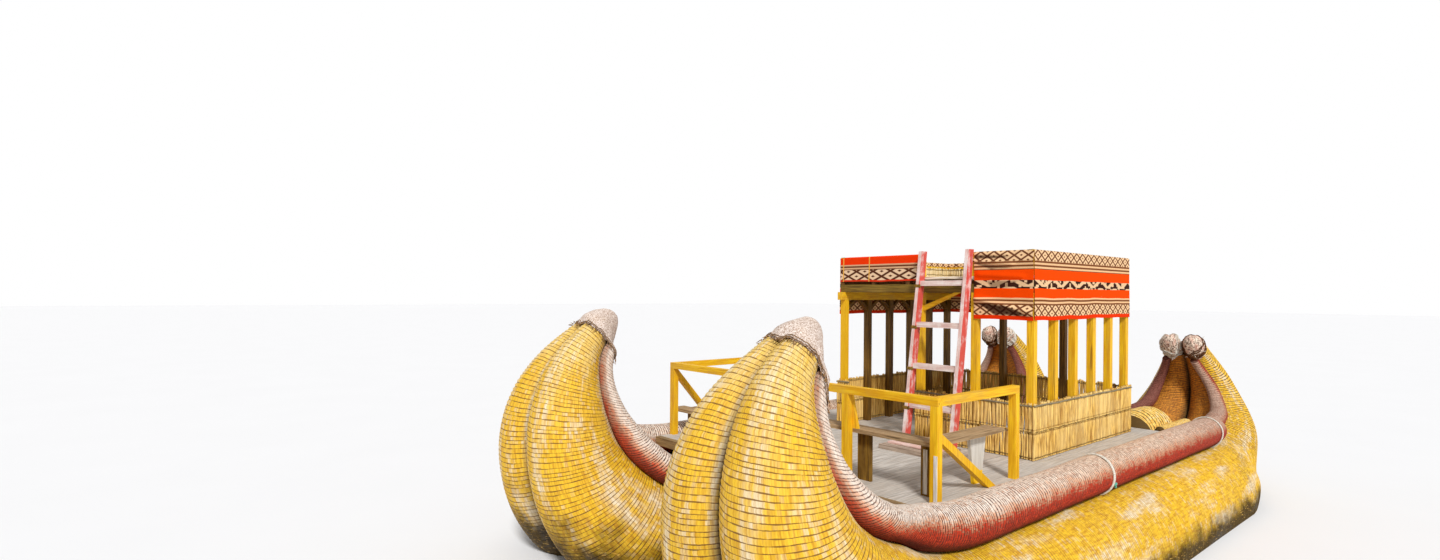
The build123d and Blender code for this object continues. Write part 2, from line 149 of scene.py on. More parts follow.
def makeMaterial(name, rough, look, *settings):
    # look returns the other inputs of the shader, made in the material's tree
    material = bpy.data.materials.new(name)
    material.use_nodes = True
    tree = material.node_tree
    inputs = {"Roughness": rough, "Specular IOR Level": 0.25, **look(tree, *settings)}
    for label, value in inputs.items():
        feed(tree.nodes["Principled BSDF"].inputs[label], value)
    return material


def makeGroup(name, inputs, marks):
    # node group shared by materials; marks returns its outputs, made from its inputs
    tree = bpy.data.node_groups.new(name, "ShaderNodeTree")
    for label, kind in inputs.items():
        tree.interface.new_socket(label, in_out="INPUT", socket_type="NodeSocket" + kind)
    entry = tree.nodes.new("NodeGroupInput")
    made = marks(*[Field(entry.outputs[label]) for label in inputs])
    for label in made:
        tree.interface.new_socket(label, in_out="OUTPUT", socket_type="NodeSocketFloat")
    result = tree.nodes.new("NodeGroupOutput")
    for label, value in made.items():
        feed(result.inputs[label], value)
    return tree


def useGroup(group, *values):
    node = put("Group", dict(enumerate(values)), node_tree=group)
    return {socket.name: Field(socket) for socket in node.outputs}


# reeds under a close winding of cord; path is (winding count, angle round, metres along)
def windingMarks(path, cordWidth, patches):
    winding, angle, along = splitVector(path)
    fine = noise(joinVector(along * 7.0, angle * 30.0), 1.0, 2.0, 0.6)
    uneven = noise(joinVector(winding * 1.7, angle * 4.0), 1.0, 2.0)
    width = cordWidth * remap(uneven, 0.34, 0.64, 0.3, 1.3)
    distance = abs(calc("FRACT", winding + 0.5) - 0.5)
    cord = remap(distance / width, 0.35, 0.7, 1.0, 0.0)
    cell = calc("FLOOR", winding)
    column = calc("FLOOR", angle * patches + whiteNoise(cell, 3.0))
    broad = noise(joinVector(along * 0.55, angle * 1.5), 1.5, 3.0)
    fade = remap(broad, 0.44, 0.7, 0.03, 0.62) - whiteNoise(cell, column)
    tone = whiteNoise(cell + 40.0, calc("FLOOR", angle * (patches * 2.3)))
    streak = fine * 0.9 + tone * 0.2
    return {"Cord": cord, "Fade": remap(fade, -0.24, 0.3), "Broad": remap(broad, 0.48, 0.74),
            "Streak": remap(streak, 0.25, 0.78), "Height": cord * -0.9 + fine}


# sawn timber: fine grain along one axis, broad worn places and small splits
def grainMarks(spot, along, patchScale):
    lined = stretch(spot, along)
    grain = noise(lined, 1.6, 4.0, 0.6)
    coarse = noise(lined, 0.55, 2.0)
    worn = noise(spot, patchScale, 4.0, 0.65) * 0.75 + coarse * 0.35
    return {"Grain": grain, "Worn": remap(worn, 0.5, 0.72), "Split": remap(coarse, 0.68, 0.74),
            "Height": grain + coarse * 0.8}


# upright reed stalks seen close by
def stalkMarks(spot, along):
    return {"Streak": noise(stretch(spot, along), 1.0, 3.0, 0.65),
            "Bleached": remap(noise(spot, 2.2, 3.0), 0.35, 0.7)}


# woven figures; weave is (metres across, metres down, share of the drop)
def weaveMarks(weave, wide, tall):
    across, down = splitVector(weave)[:2]
    rhomb = calc("FRACT", calc("PINGPONG", across, wide) / wide + calc("PINGPONG", down, tall) / tall)
    stripes = abs(calc("FRACT", down * 25.0) - 0.5)
    blocks = whiteNoise(calc("FLOOR", across * 34.0), calc("FLOOR", down * 42.0)) > 0.22
    zigzag = abs(calc("FRACT", down * 10.6) - calc("PINGPONG", across, 0.2) / 0.2)
    return {"Diamonds": remap(abs(rhomb - 0.5), 0.2, 0.34), "Stripes": remap(stripes, 0.16, 0.34),
            "Blocks": blocks * remap(zigzag, 0.18, 0.3),
            "Threads": noise(stretch(weave, (420, 420, 1)), 1.0, 1.0)}


windingGroup = makeGroup("reedWinding", {"Path": "Vector", "Cord Width": "Float", "Patches": "Float"},
                         windingMarks)
grainGroup = makeGroup("woodGrain", {"Vector": "Vector", "Along": "Vector", "Patch Scale": "Float"},
                       grainMarks)
stalkGroup = makeGroup("reedStalks", {"Vector": "Vector", "Along": "Vector"}, stalkMarks)
weaveGroup = makeGroup("wovenFigures", {"Weave": "Vector", "Wide": "Float", "Tall": "Float"}, weaveMarks)

# directions in which grain runs, as how much finer the pattern is across it
alongX = (2.2, 42, 42)
alongY = (42, 2.2, 42)
alongZ = (42, 42, 2.2)


def bundleSkin(tree):
    path = readMark(tree, "reedPath", "Vector")
    angle, along = splitVector(path)[1:]
    marks = useGroup(windingGroup, path, remap(along, 4.6, 5.9, 0.17, 0.3), 13.0)
    streak, spot = marks["Streak"], place(tree)
    pale = blend(streak, "cdb080", "f0e2c8")
    bleached = remap(noise(joinVector(along, angle), 1.3, 3.0), 0.36, 0.6)
    bleached = bleached * remap(along, -5.0, -2.2, 0.85, 0.0)  # towards the bow's tip
    shown = calc("MAXIMUM", remap(along, -0.9, 0.6, 0.9, 0.6), remap(along, 4.6, 5.9, 0.0, 0.9))
    height = splitVector(spot)[2] * remap(along, -2.2, -0.5, 0.42, 1.0)
    wet = remap(height + noise(spot, 4.0, 4.0) * -0.36, -0.06, 0.17, 1.0, 0.0)
    tangle = noise(stretch(spot, (9, 9, 40)), 1.6, 4.0, 0.7)
    skin = coat(
        # broad pale bands: bleached reeds, partly a painted sheen
        blend(streak, "c68c0a", "f0c224"), (marks["Broad"] * 0.8, pale), (marks["Fade"] * 0.66, pale),
        (bleached, blend(streak, "e6cf84", "fbf0c4")),
        # brown on the concave faces of the stern's bend: stained reeds, partly painted shade under the curl
        (readMark(tree, "stain"), blend(streak, "9c5810", "e69828")),
        (marks["Cord"] * shown, blend(remap(along, -3.0, -0.5), "7a5014", "4c3008")),
        # painted shade: darkens the reeds in the crevice where the two bundles of a hull meet
        (readMark(tree, "crevice") * 0.9, "241404"),
        (wet * 0.92, blend(remap(tangle, 0.58, 0.66), "1c1004", "c29a50")))
    return {"Base Color": skin, "Normal": bump(marks["Height"], 0.6, 0.008),
            "Roughness": remap(wet, 0.0, 1.0, 0.74, 0.6),
            "Specular IOR Level": remap(wet, 0.0, 1.0, 0.5, 0.15)}


def rollSkin(tree):
    path = readMark(tree, "reedPath", "Vector")
    along = splitVector(path)[2]
    width = calc("MINIMUM", remap(along, -1.2, 1.0, 0.36, 0.26), remap(along, -3.4, -1.4, 0.22, 0.38))
    marks = useGroup(windingGroup, path, width, 5.0)
    streak = marks["Streak"]
    shade = readMark(tree, "rollSide")  # 1 next to the bundle, 0 on the side away from it
    edge = shade + (noise(place(tree), 6.0, 4.0, 0.7) - 0.5) * 0.5 + (streak - 0.5) * 0.3
    edge = edge + remap(along, -3.6, -0.7, -0.5, 0.16)
    fresh = blend(streak, "a02208", "e8603a")
    red = blend(remap(along, -2.4, -0.6), fresh, blend(streak, "741206", "c63a1a"))
    rosy = blend(streak, "b06c48", "e4b08c")
    # painted shadow on the roll where it lies against the bundle, weaker towards the bow's tip
    contactShade = remap(shade, 0.76, 0.96, 0.0, 0.85) * remap(along, -2.8, -1.2, 0.4, 1.0)
    shown = marks["Cord"] * remap(along, 0.2, 2.2, 0.95, 0.8) * remap(along, -3.2, -1.6, 0.72, 1.0)
    skin = coat(
        blend(streak, "cdb09a", "f8ecdf"),
        (remap(along, -0.4, 2.4, 0.0, 0.7), blend(streak, "a8765a", "ecd0b2")),
        (marks["Fade"] * 0.45, rosy), (remap(edge, 0.42, 0.62), rosy), (remap(edge, 0.58, 0.8), red),
        # dark maroon on the stern's rolls, most on the inner one: partly stain, partly painted shade
        (readMark(tree, "stain"), blend(streak, "521410", "944c40")), (contactShade, "380c06"), (shown, "4c2416"))
    return {"Base Color": skin, "Normal": bump(marks["Height"], 0.55, 0.006)}


def fillingSkin(tree):
    marks = useGroup(windingGroup, readMark(tree, "reedPath", "Vector"), 0.24, 8.0)
    straw = coat(blend(marks["Streak"], "d69a34", "fcd878"), (marks["Fade"] * 0.5, "f1e2b8"),
                 (marks["Cord"] * 0.95, "4d3514"))
    return {"Base Color": straw, "Normal": bump(marks["Height"], 0.6, 0.006)}


def strawSkin(tree, along, dark, light, bleached):
    marks = useGroup(stalkGroup, place(tree), along)
    straw = coat(blend(remap(marks["Streak"], 0.34, 0.62), dark, light), (marks["Bleached"] * 0.5, bleached),
                 (remap(readMark(tree, "bunchTone"), 0.4, 1.0, 0.0, 0.4), dark),
                 (readMark(tree, "seam") * 0.55, "7c5a26"))
    return {"Base Color": straw, "Normal": bump(marks["Streak"], 0.6, 0.004)}


def cordSkin(tree, dark, light):
    fibres = noise(place(tree), 160.0, 2.0, 0.6)
    return {"Base Color": blend(remap(fibres, 0.35, 0.7), dark, light), "Normal": bump(fibres, 0.5, 0.002)}


def timberSkin(tree, along, colours, wornShare, splitColour, patchScale=3.0, boards=None, side=None):
    # boards: (axis, width, first edge) where each board has its own tone
    # side: (colour, direction) of other paint on the faces that look that way
    dark, light, bare = colours
    spot = place(tree)
    marks = useGroup(grainGroup, spot, along, patchScale)
    skin = blend(remap(marks["Grain"], 0.3, 0.7), dark, light)
    if boards:
        axis, width, first = boards
        board = whiteNoise(calc("FLOOR", (splitVector(spot)[axis] - first) / width), 5.0)
        skin = blend(board * 0.42, skin, bare)
    skin = coat(skin, (marks["Worn"] * wornShare, bare), (marks["Split"] * 0.7, splitColour))
    if side:
        normal = Field(put("NewGeometry", {}, tree).outputs["Normal"])
        facing = Field(put("VectorMath", {0: normal, 1: side[1]}, operation="DOT_PRODUCT").outputs["Value"])
        left = calc("SUBTRACT", 1.15, marks["Worn"] * 0.9, clamp=True)
        skin = blend(remap(facing, 0.4, 0.8) * left, skin, side[0])
    return {"Base Color": skin, "Normal": bump(marks["Height"], 0.4, 0.003)}


def clothSkin(tree, bands, wide, tall, seams=()):
    # bands: share of the drop where a band starts, ground colour, and for figures their colour and kind
    # seams: metres across where thin seams run down the cloth
    weave = readMark(tree, "weave", "Vector")
    figures = useGroup(weaveGroup, weave, wide, tall)
    across, down, share = splitVector(weave)
    share = share + (noise(weave, 9.0, 2.0) - 0.5) * 0.012
    skin = None
    for start, ground, *woven in bands:
        look = blend(figures[woven[1]], ground, woven[0]) if woven else ground
        skin = blend(share > start, skin, look) if skin else look
    skin = coat(skin, *[(abs(across - seam) < 0.008, "eeb04c") for seam in seams],
                (remap(figures["Threads"], 0.4, 0.8, 0.0, 0.22), "2a1408"),
                (readMark(tree, "foldShade"), "3a1a10"))
    return {"Base Color": skin, "Normal": bump(figures["Threads"], 0.5, 0.002), "Specular IOR Level": 0.05}


def sackSkin(tree):
    spot = place(tree)
    threads = noise(spot, 85.0, 4.0, 0.8)
    frayed = readMark(tree, "frayed") * remap(noise(spot, 60.0), 0.42, 0.56)
    skin = coat(blend(remap(threads, 0.36, 0.62), "9c7a62", "f6e9df"),
                (remap(noise(spot, 6.0, 3.0), 0.5, 0.8, 0.0, 0.35), "b99a78"), (frayed * 0.9, "4b2a12"))
    return {"Base Color": skin, "Normal": bump(threads, 0.7, 0.004)}


def knobSkin(tree):
    spot = place(tree)
    streaks = noise(spot, 46.0, 4.0, 0.7)
    # streaks follow the bumps: darkest in their hollows, partly painted shade, palest on their crests, partly
    # painted highlight
    skin = coat(blend(remap(streaks, 0.4, 0.56), "4a2a18", "f0dcc8"),
                (remap(noise(spot, 13.0, 3.0), 0.46, 0.62, 0.0, 0.5), "d39a86"))
    return {"Base Color": skin, "Normal": bump(streaks, 0.8, 0.01)}


bundleMaterial = makeMaterial("reedBundle", 0.72, bundleSkin)
rollMaterial = makeMaterial("reedRoll", 0.75, rollSkin)
fillingMaterial = makeMaterial("reedFilling", 0.75, fillingSkin)
wallStraw = makeMaterial("wallReeds", 0.82, strawSkin, (85, 85, 5), "a06a1c", "fbd06e", "f8de9a")
parapetStraw = makeMaterial("parapetReeds", 0.82, strawSkin, (90, 90, 4), "c9a866", "f3deae", "f8ecd0")
stitchCord = makeMaterial("stitchCord", 0.9, cordSkin, "6e5428", "b69a5c")
rimCord = makeMaterial("rimCord", 0.9, cordSkin, "6f6450", "a3977c")
whiteRope = makeMaterial("whiteRope", 0.9, cordSkin, "b9b2a2", "f7f3ea")
darkLashing = makeMaterial("darkLashing", 0.9, cordSkin, "2b1708", "7c4c22")
capBinding = makeMaterial("capBinding", 0.9, cordSkin, "3a2008", "c49a6c")
greenCord = makeMaterial("greenCord", 0.9, cordSkin, "3f8f7c", "8ed6c2")
sackcloth = makeMaterial("sackcloth", 0.95, sackSkin)
knobMaterial = makeMaterial("knobLashing", 0.9, knobSkin)
longCloth = makeMaterial("longCloth", 0.95, clothSkin, [
    (-1, "f4cb9c", "70432a", "Diamonds"), (0.15, "f0c291", "7a4626", "Stripes"), (0.275, "fa4a02"),
    (0.425, "ecc598", "3a2018", "Blocks"), (0.545, "fa4a02"), (0.68, "f0c291", "7a4626", "Stripes"),
    (0.785, "f4cb9c", "70432a", "Diamonds"), (0.94, "ea3606")], 0.075, 0.05)
shortCloth = makeMaterial("shortCloth", 0.95, clothSkin, [
    (-1, "f43a08"), (0.30, "dcae86", "6b3a22", "Stripes"), (0.52, "f0cda8", "5a3220", "Diamonds"),
    (0.93, "dc3a1c")], 0.13, 0.06, (0.05, 0.46))
print("materials made")

yellow = ("dc9c08", "fbcb20", "c49a4c")
# dark browns of the far posts and knees: painted shade
bare = ("4a3010", "8a6420", "6c4c1c")
bench = ("7c6244", "c2a47c", "a5855c")
outerPaint = "e6ac10"
timberLook = {
    # nodes that the frame already holds, roughness, grain, (dark, light, bare) colours, share worn bare,
    # colour of splits, scale of worn places, boards, side
    "yellowAcross": ("rail_top_front entrance_brace parapet_rail_ends", 0.62, alongX, yellow, 0.42, "7a4a12"),
    "yellowLengthwise": ("rail_top_port rail_top_starboard side_plates knee_braces_port parapet_rail_sides",
                         0.62, alongY, yellow, 0.42, "7a4a12"),
    "yellowUpright": ("rail_posts rail_braces cabin_posts_port cabin_posts_front parapet_posts",
                      0.62, alongZ, yellow, 0.3, "7a4a12"),
    # far posts and knees: dark brown as painted shade, where they stand backlit inside the cabin; yellow paint
    # on the faces that look outward
    "shadedUprightStarboard": ("cabin_posts_starboard", 0.62, alongZ, bare, 0.4, "24140a", 3.0, None,
                             (outerPaint, (-1, 0, 0))),
    "shadedUprightBack": ("cabin_posts_back", 0.62, alongZ, bare, 0.4, "24140a", 3.0, None,
                        (outerPaint, (0, 1, 0))),
    "bareKnees": ("knee_braces_starboard", 0.62, alongY, bare, 0.4, "24140a", 3.0, None,
                  (outerPaint, (-1, 0, 0))),
    "deckPlanks": ("deck_planks", 0.85, alongY, ("a39b92", "dcd6ce", "c2b8ab"), 0.4, "665a4e", 2.2,
                   (0, 3.654 / 24, -1.827)),
    "benchPlanks": ("bench_front", 0.8, alongX, bench, 0.4, "3c2a18"),
    "sideBenchPlanks": ("bench_port bench_starboard", 0.8, alongY, bench, 0.4, "3c2a18"),
    "benchLegs": ("bench_legs", 0.8, alongZ, ("4e3410", "96701f", "a3803e"), 0.35, "1e1006"),
    "crossPoles": ("deck_front_beam cross_poles", 0.85, alongX, ("6d5638", "b0946a", "8a6e48"), 0.4,
                   "3a2a18"),
    "crossBeams": ("cross_beams", 0.8, alongX, ("5b4418", "94762e", "6e5a2a"), 0.4, "2c1d0c"),
    "floorBattens": ("floor_battens", 0.8, alongY, ("4a2c12", "7d5426", "5a3a1a"), 0.4, "24140a"),
    "floorBoards": ("floor_boards ladder_sill", 0.8, alongX, ("b9a68a", "f2ead8", "d8c8ac"), 0.4,
                    "6e5c44", 2.5),
    "footBoard": ("foot_board", 0.85, alongX, ("857060", "c9b5a2", "a08c7a"), 0.4, "4a3a30"),
    "ladderRails": ("ladder_rails", 0.7, alongZ, ("cfa79f", "eecfc8", "f1e6e2"), 0.9, "a8665c", 7.0, None,
                    ("d8574c", (1, 0, 0))),
    "ladderRungs": ("ladder_rungs", 0.75, alongX, ("d3a9a0", "f0dcd4", "f6efe9"), 0.7, "8a5a52", 6.0),
    "pinkPlank": ("", 0.75, alongX, ("cf9f94", "f0d3c8", "f6e8e0"), 0.6, "8a5a52", 6.0),
    "paleStrips": ("", 0.8, alongZ, ("b9b4aa", "f4f2ee", "d9d2c4"), 0.5, "6e665a", 9.0),
}
timber = {}
for name, (held, rough, *settings) in timberLook.items():
    timber[name] = makeMaterial(name, rough, timberSkin, *settings)
    for nodeName in held.split():
        node = nodes[nodeName]
        if not node.material_slots:
            node.data.materials.append(timber[name])
        for materialSlot in node.material_slots:
            materialSlot.material = timber[name]


def repaint(material, mask, colour):
    # other paint where the mask, made from x, y and z, is 1
    socket = material.node_tree.nodes["Principled BSDF"].inputs["Base Color"]
    spot = place(material.node_tree)
    feed(socket, blend(mask(*splitVector(spot)), Field(socket.links[0].from_socket), colour(spot)))


def yellowPaint(spot):
    return blend(noise(stretch(spot, alongZ), 1.5, 3.0), yellow[0], yellow[1])


def wornLeg(spot):  # pale, with a yellow foot
    pale = blend(noise(stretch(spot, alongZ), 1.4, 3.0), "a9a294", "f0ece4")
    return blend(splitVector(spot)[2] < 1.14, pale, yellow[1])


repaint(timber["shadedUprightStarboard"], lambda x, y, z: y < -0.5, yellowPaint)  # corner post at the entrance
repaint(timber["benchLegs"], lambda x, y, z: (x > 1.3) * (y > -2.3), wornLeg)  # leg of the port bench
print("timber finished:", len(timber), "materials")


def addObject(name, data):
    added = bpy.data.objects.new(name, data)
    bpy.context.scene.collection.objects.link(added)
    return added


def circle(steps):  # angles of equal steps round a full turn
    return np.arange(steps) * 2 * math.pi / steps


def unit(vector):
    return vector / np.linalg.norm(vector, axis=-1, keepdims=True)


def readRows(rows, value):  # the other columns of a table where its first one has this value
    return [np.interp(value, rows[:, 0], column) for column in rows[:, 1:].T]


def gridFaces(rows, columns, wrap=False):
    row = np.arange(rows - 1)[:, None] * columns
    column = np.arange(columns if wrap else columns - 1)[None, :]
    after = (column + 1) % columns
    corners = [row + column, row + after, row + columns + after, row + columns + column]
    return np.stack(corners, -1).reshape(-1, 4)


strandRelief = 0.16


class MeshHeap:
    # gathers points, faces and marks of one piece
    def __init__(self):
        self.points = []
        self.faces = []
        self.marks = {}
        self.count = 0

    def add(self, points, faces, **marks):
        self.faces += [[corner + self.count for corner in face] for face in faces]
        self.points.append(points)
        for name, values in marks.items():
            self.marks.setdefault(name, []).append(values.reshape(len(points), -1))
        self.count += len(points)

    def addTube(self, rings, **marks):
        # closed tube from rings of points, with its ends closed by fans
        count, around = rings.shape[:2]
        middle = np.stack([rings[0].mean(0), rings[-1].mean(0)])
        points = np.concatenate([rings.reshape(-1, 3), middle])
        first, last = count * around, count * around + 1
        faces = gridFaces(count, around, True).tolist()
        for step in range(around):
            after = (step + 1) % around
            faces.append([first, after, step])
            faces.append([last, (count - 1) * around + step, (count - 1) * around + after])
        extended = {}
        for name, values in marks.items():
            flat = values.reshape(count * around, -1)
            extended[name] = np.concatenate([flat, [flat[:around].mean(0), flat[-around:].mean(0)]])
        self.add(points, faces, **extended)

    def addCord(self, path, radius, around, strands=0, twist=0.0):
        # a round or twisted cord along a path of points
        ahead = unit(np.gradient(path, axis=0))
        side = unit(np.cross(ahead, np.array([0.31, 0.22, 0.92])))
        over = np.cross(side, ahead)
        steps = np.concatenate([[0], np.cumsum(np.linalg.norm(np.diff(path, axis=0), axis=1))])[:, None]
        turn = circle(around)[:, None]
        relief = strandRelief if strands else 0.0
        girth = np.broadcast_to(np.asarray(radius, float), (len(path),))[:, None]
        girth = girth * (1 + relief * np.cos(strands * turn.T - twist * steps))
        spread = np.cos(turn) * side[:, None, :] + np.sin(turn) * over[:, None, :]
        self.addTube(path[:, None, :] + girth[:, :, None] * spread)

    def build(self, name, material, slotName, replaced=(), smooth=True):
        mesh = bpy.data.meshes.new(name)
        mesh.from_pydata(np.concatenate(self.points).tolist(), [], self.faces)
        mesh.update()
        for markName, parts in self.marks.items():
            values = np.concatenate(parts).astype(np.float32)
            vector = values.shape[1] == 3
            mark = mesh.attributes.new(markName, "FLOAT_VECTOR" if vector else "FLOAT", "POINT")
            mark.data.foreach_set("vector" if vector else "value", values.ravel())
        mesh.polygons.foreach_set("use_smooth", [smooth] * len(mesh.polygons))
        mesh.materials.append(material)
        piece = addObject(name, mesh)
        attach(piece, "root")
        if replaced:
            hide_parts(*replaced)
        return piece


def smoothStep(value, low, high):
    t = np.clip((value - low) / (high - low), 0, 1)
    return t * t * (3 - 2 * t)


def ripple(first, second, seed, scale=1.0):
    # smooth, repeatable unevenness between about -1 and 1
    draw = np.random.default_rng(seed)
    total = 0.0
    for octave in range(5):
        heading = draw.uniform(0, 2 * math.pi)
        rate = scale * 1.55 ** octave
        wave = first * math.cos(heading) + second * math.sin(heading)
        total = total + np.sin(rate * wave + draw.uniform(0, 2 * math.pi)) / 1.35 ** octave
    return total / 2.4


def angleGrid(around, rows):  # angles round a tube, the same on each of its rings
    return np.tile(circle(around), (rows, 1))


hull = {
    "x": 1.426, "spineZ": 0.146, "bowY": -2.611, "sternY": 3.038, "rollSeat": 0.90, "keelGap": 0.0005,
    # lengths between which the pitch of the windings changes, spread of each winding's own pitch
    "pitchChange": (-0.6, 1.6), "pitchSpread": (0.72, 1.28),
    # arcs of each end in a row: radius, turn where the arc ends
    "bowBend": [(3.867, 13.5), (1.315, 62), (1.105, 180)],
    "sternBend": [(2.671, 12.3), (1.269, 53.3), (0.931, 180)],
    # turn, bundle radius, bundle offset, roll radius, outer roll offset, inner roll offset
    "bowShape": [(0, .629, .499, .187, .581, 1.070), (34, .643, .437, .146, .538, .947),
                 (67, .478, .359, .148, .515, .708), (100, .344, .262, .120, .333, .432),
                 (140, .156, .084, .072, .176, .208)],
    "sternShape": [(0, .629, .499, .187, .581, 1.070), (34, .500, .400, .143, .462, .687),
                   (67, .415, .376, .113, .475, .469), (100, .274, .252, .082, .360, .372),
                   (138, .158, .112, .054, .150, .214)],
}
straightLength = hull["sternY"] - hull["bowY"]


def shapeRows(shape, turn):  # smooth curve through the rows of a shape table
    rows = np.array(shape)
    after = np.clip(np.searchsorted(rows[:, 0], turn - 0.001), 1, len(rows) - 1)
    p0, p1 = rows[np.maximum(after - 2, 0)], rows[after - 1]
    p2, p3 = rows[after], rows[np.minimum(after + 1, len(rows) - 1)]
    t = ((turn - p1[:, 0]) / (p2[:, 0] - p1[:, 0]))[:, None]
    return p1 + 0.5 * t * (p2 - p0 + t * (2 * p0 - 5 * p1 + 4 * p2 - p3 + t * (3 * p1 - p0 - 3 * p2 + p3)))


def bendPath(end, turn):  # y, z, inward y, inward z and arc length after a turn of one end
    way = -1 if end == "bow" else 1
    y, z, length, first = hull[end + "Y"], hull["spineZ"], 0.0, 0.0
    for radius, change in hull[end + "Bend"]:
        last = np.radians(np.minimum(turn, change))
        y = y + way * radius * (np.sin(last) - np.sin(first))
        z = z + radius * (np.cos(first) - np.cos(last))
        length = length + radius * (last - first)
        first = last
    full = np.radians(turn)
    return y, z, -way * np.sin(full), np.cos(full), length


def endRows(end):  # columns: length along the spine, y, z, inward y, inward z, then the shape's five
    shape = hull[end + "Shape"]
    turn = np.linspace(0, shape[-1][0], 260)
    *spine, length = bendPath(end, turn)
    along = -length if end == "bow" else straightLength + length
    return np.column_stack([along, *spine, shapeRows(shape, turn)[:, 1:]])


hullRows = np.concatenate([endRows("bow")[::-1], endRows("stern")])
hullStart, hullEnd = hullRows[0, 0], hullRows[-1, 0]


def rollInward(bundleRadius, bundleX, rollRadius, rollX):  # inward place of a roll's centre
    return np.sqrt((bundleRadius + hull["rollSeat"] * rollRadius) ** 2 - (rollX - bundleX) ** 2)


def hullAt(along, inner):
    # at any lengths: the spine's four columns, the bundle's radius and offset, the roll's radius and centre
    *spine, bundleRadius, bundleX, rollRadius, outerX, innerX = readRows(hullRows, along)
    rollX = innerX if inner else outerX
    rollN = rollInward(bundleRadius, bundleX, rollRadius, rollX)
    return spine, (bundleRadius, bundleX), (rollRadius, rollX, rollN)


def toBoat(side, inner, across, inward, spine):  # section coordinates to the boat's frame
    way = -1 if inner else 1
    y, z, inY, inZ = spine
    return np.stack([side * (hull["x"] + way * across), y + inward * inY, z + inward * inZ], -1)


def aroundRoll(side, inner, along, angle, distance):  # points at a distance from a roll's surface
    spine, bundle, (rollRadius, rollX, rollN) = hullAt(along, inner)
    radius = rollRadius + distance
    return toBoat(side, inner, rollX + radius * np.sin(angle), rollN + radius * np.cos(angle), spine)


def windings(pitchBow, pitchStern, draw):
    # uneven windings over the whole hull: lengths and counts of the rings, two to a winding
    edges = [hullStart]
    while edges[-1] < hullEnd:
        pitch = pitchBow + (pitchStern - pitchBow) * smoothStep(edges[-1], *hull["pitchChange"])
        edges.append(edges[-1] + pitch * draw.uniform(*hull["pitchSpread"]))
    edges = hullStart + (np.array(edges) - hullStart) * (hullEnd - hullStart) / (edges[-1] - hullStart)
    rings = (edges[:-1, None] + np.diff(edges)[:, None] * np.array([0, 0.5])).ravel()
    return np.append(rings, hullEnd), np.arange(2 * len(edges) - 1) / 2


def grooves(counts):  # 1 on the rings where a cord lies
    return np.where(np.abs(counts - np.round(counts)) < 0.01, 1.0, 0.0)[:, None]


def buildWound(name, points, counts, angle, along, material, slotName, node, **marks):
    # tube of reeds under a winding; counts may start anywhere, so that no two pieces look alike
    heap = MeshHeap()
    path = np.stack([np.broadcast_to(counts[:, None], angle.shape), angle, along], -1)
    heap.addTube(points, reedPath=path, **marks)
    heap.build(name, material, slotName, [node])


bundleLook = {
    "pitch": (0.033, 0.034), "around": 44, "groove": 0.009, "wobble": 0.006, "lumps": 0.007,
    "clearance": 0.004,
    "stain": (0.1, 0.5),  # starts ahead of the stern's bend, is full beyond it
    # widths of the painted shade in the crevice: everywhere, more where the bundle is thick, more near the
    # water
    "crevice": (0.055, 0.05, 0.13),
}


def makeBundle(label, innerLabel, side, seed):
    look, inner = bundleLook, innerLabel == "Inner"
    rings, counts = windings(*look["pitch"], np.random.default_rng(seed))
    length = rings[:, None]
    bundleRadius, bundleX = hullAt(length, inner)[1]
    flat = np.arcsin((bundleX - hull["keelGap"]) / bundleRadius)
    angle = -flat + (math.pi + 2 * flat) * np.linspace(0, 1, look["around"])
    along = length + look["wobble"] * ripple(length * 3, angle * 2, seed + 1, 1.3)
    along[0], along[-1] = hullStart, hullEnd
    spine, (bundleRadius, bundleX), (rollRadius, rollX, rollN) = hullAt(along, inner)
    depth = look["groove"] * (0.7 + 0.5 * ripple(length * 5, angle * 3, seed + 2))
    lumps = look["lumps"] * ripple(length * 2.4, angle * 2.2, seed + 3)
    radius = bundleRadius - grooves(counts) * depth + lumps
    across = np.maximum(bundleX + radius * np.sin(angle), hull["keelGap"])
    inward = radius * np.cos(angle)
    reach = np.hypot(across - rollX, inward - rollN)
    push = np.maximum(rollRadius + look["clearance"], reach) / reach  # the groove that the roll lies in
    across, inward = rollX + (across - rollX) * push, rollN + (inward - rollN) * push
    points = toBoat(side, inner, across, inward, spine)
    lean = np.arcsin((rollX - bundleX) / (bundleRadius + hull["rollSeat"] * rollRadius))
    ahead, beyond = look["stain"]
    # brown on the concave side of the stern's bend: stain, partly painted shade
    stain = smoothStep(along, straightLength - ahead, straightLength + beyond)
    stain = stain * (1 - smoothStep(angle, lean - 0.05, lean + 0.2))
    stain = stain * smoothStep(angle, -flat - 0.1, -flat + 0.1)
    height = points[..., 2]
    least, thick, low = look["crevice"]
    # painted shade in the crevice between the bundles: its width, then its strength, less high up
    wide = least + thick * smoothStep(radius, 0.3, 0.6) + low * (1 - smoothStep(height, 0.25, 1.2))
    crevice = (1 - smoothStep(across, 0.0, wide)) * (1 - 0.75 * smoothStep(height, 1.5, 2.3))
    buildWound(f"reedBundle{label}{innerLabel}", points, counts + 11.0 * seed, angle, along, bundleMaterial,
               "reed_bundle", f"bundle_{label}_{innerLabel}".lower(), stain=stain, crevice=crevice)


rollLook = {
    "pitch": (0.036, 0.034), "around": 24, "groove": 0.0055, "lumps": 0.005, "clearance": 0.001,
    "wobble": (0.006, 0.004),  # lean and unevenness of each winding
    # stain and painted shade: starts ahead of the stern's bend, is full beyond it, strength
    "stains": {"Inner": (0.9, 0.6, 0.9), "Outer": (2.5, 0.6, 0.42)},
}


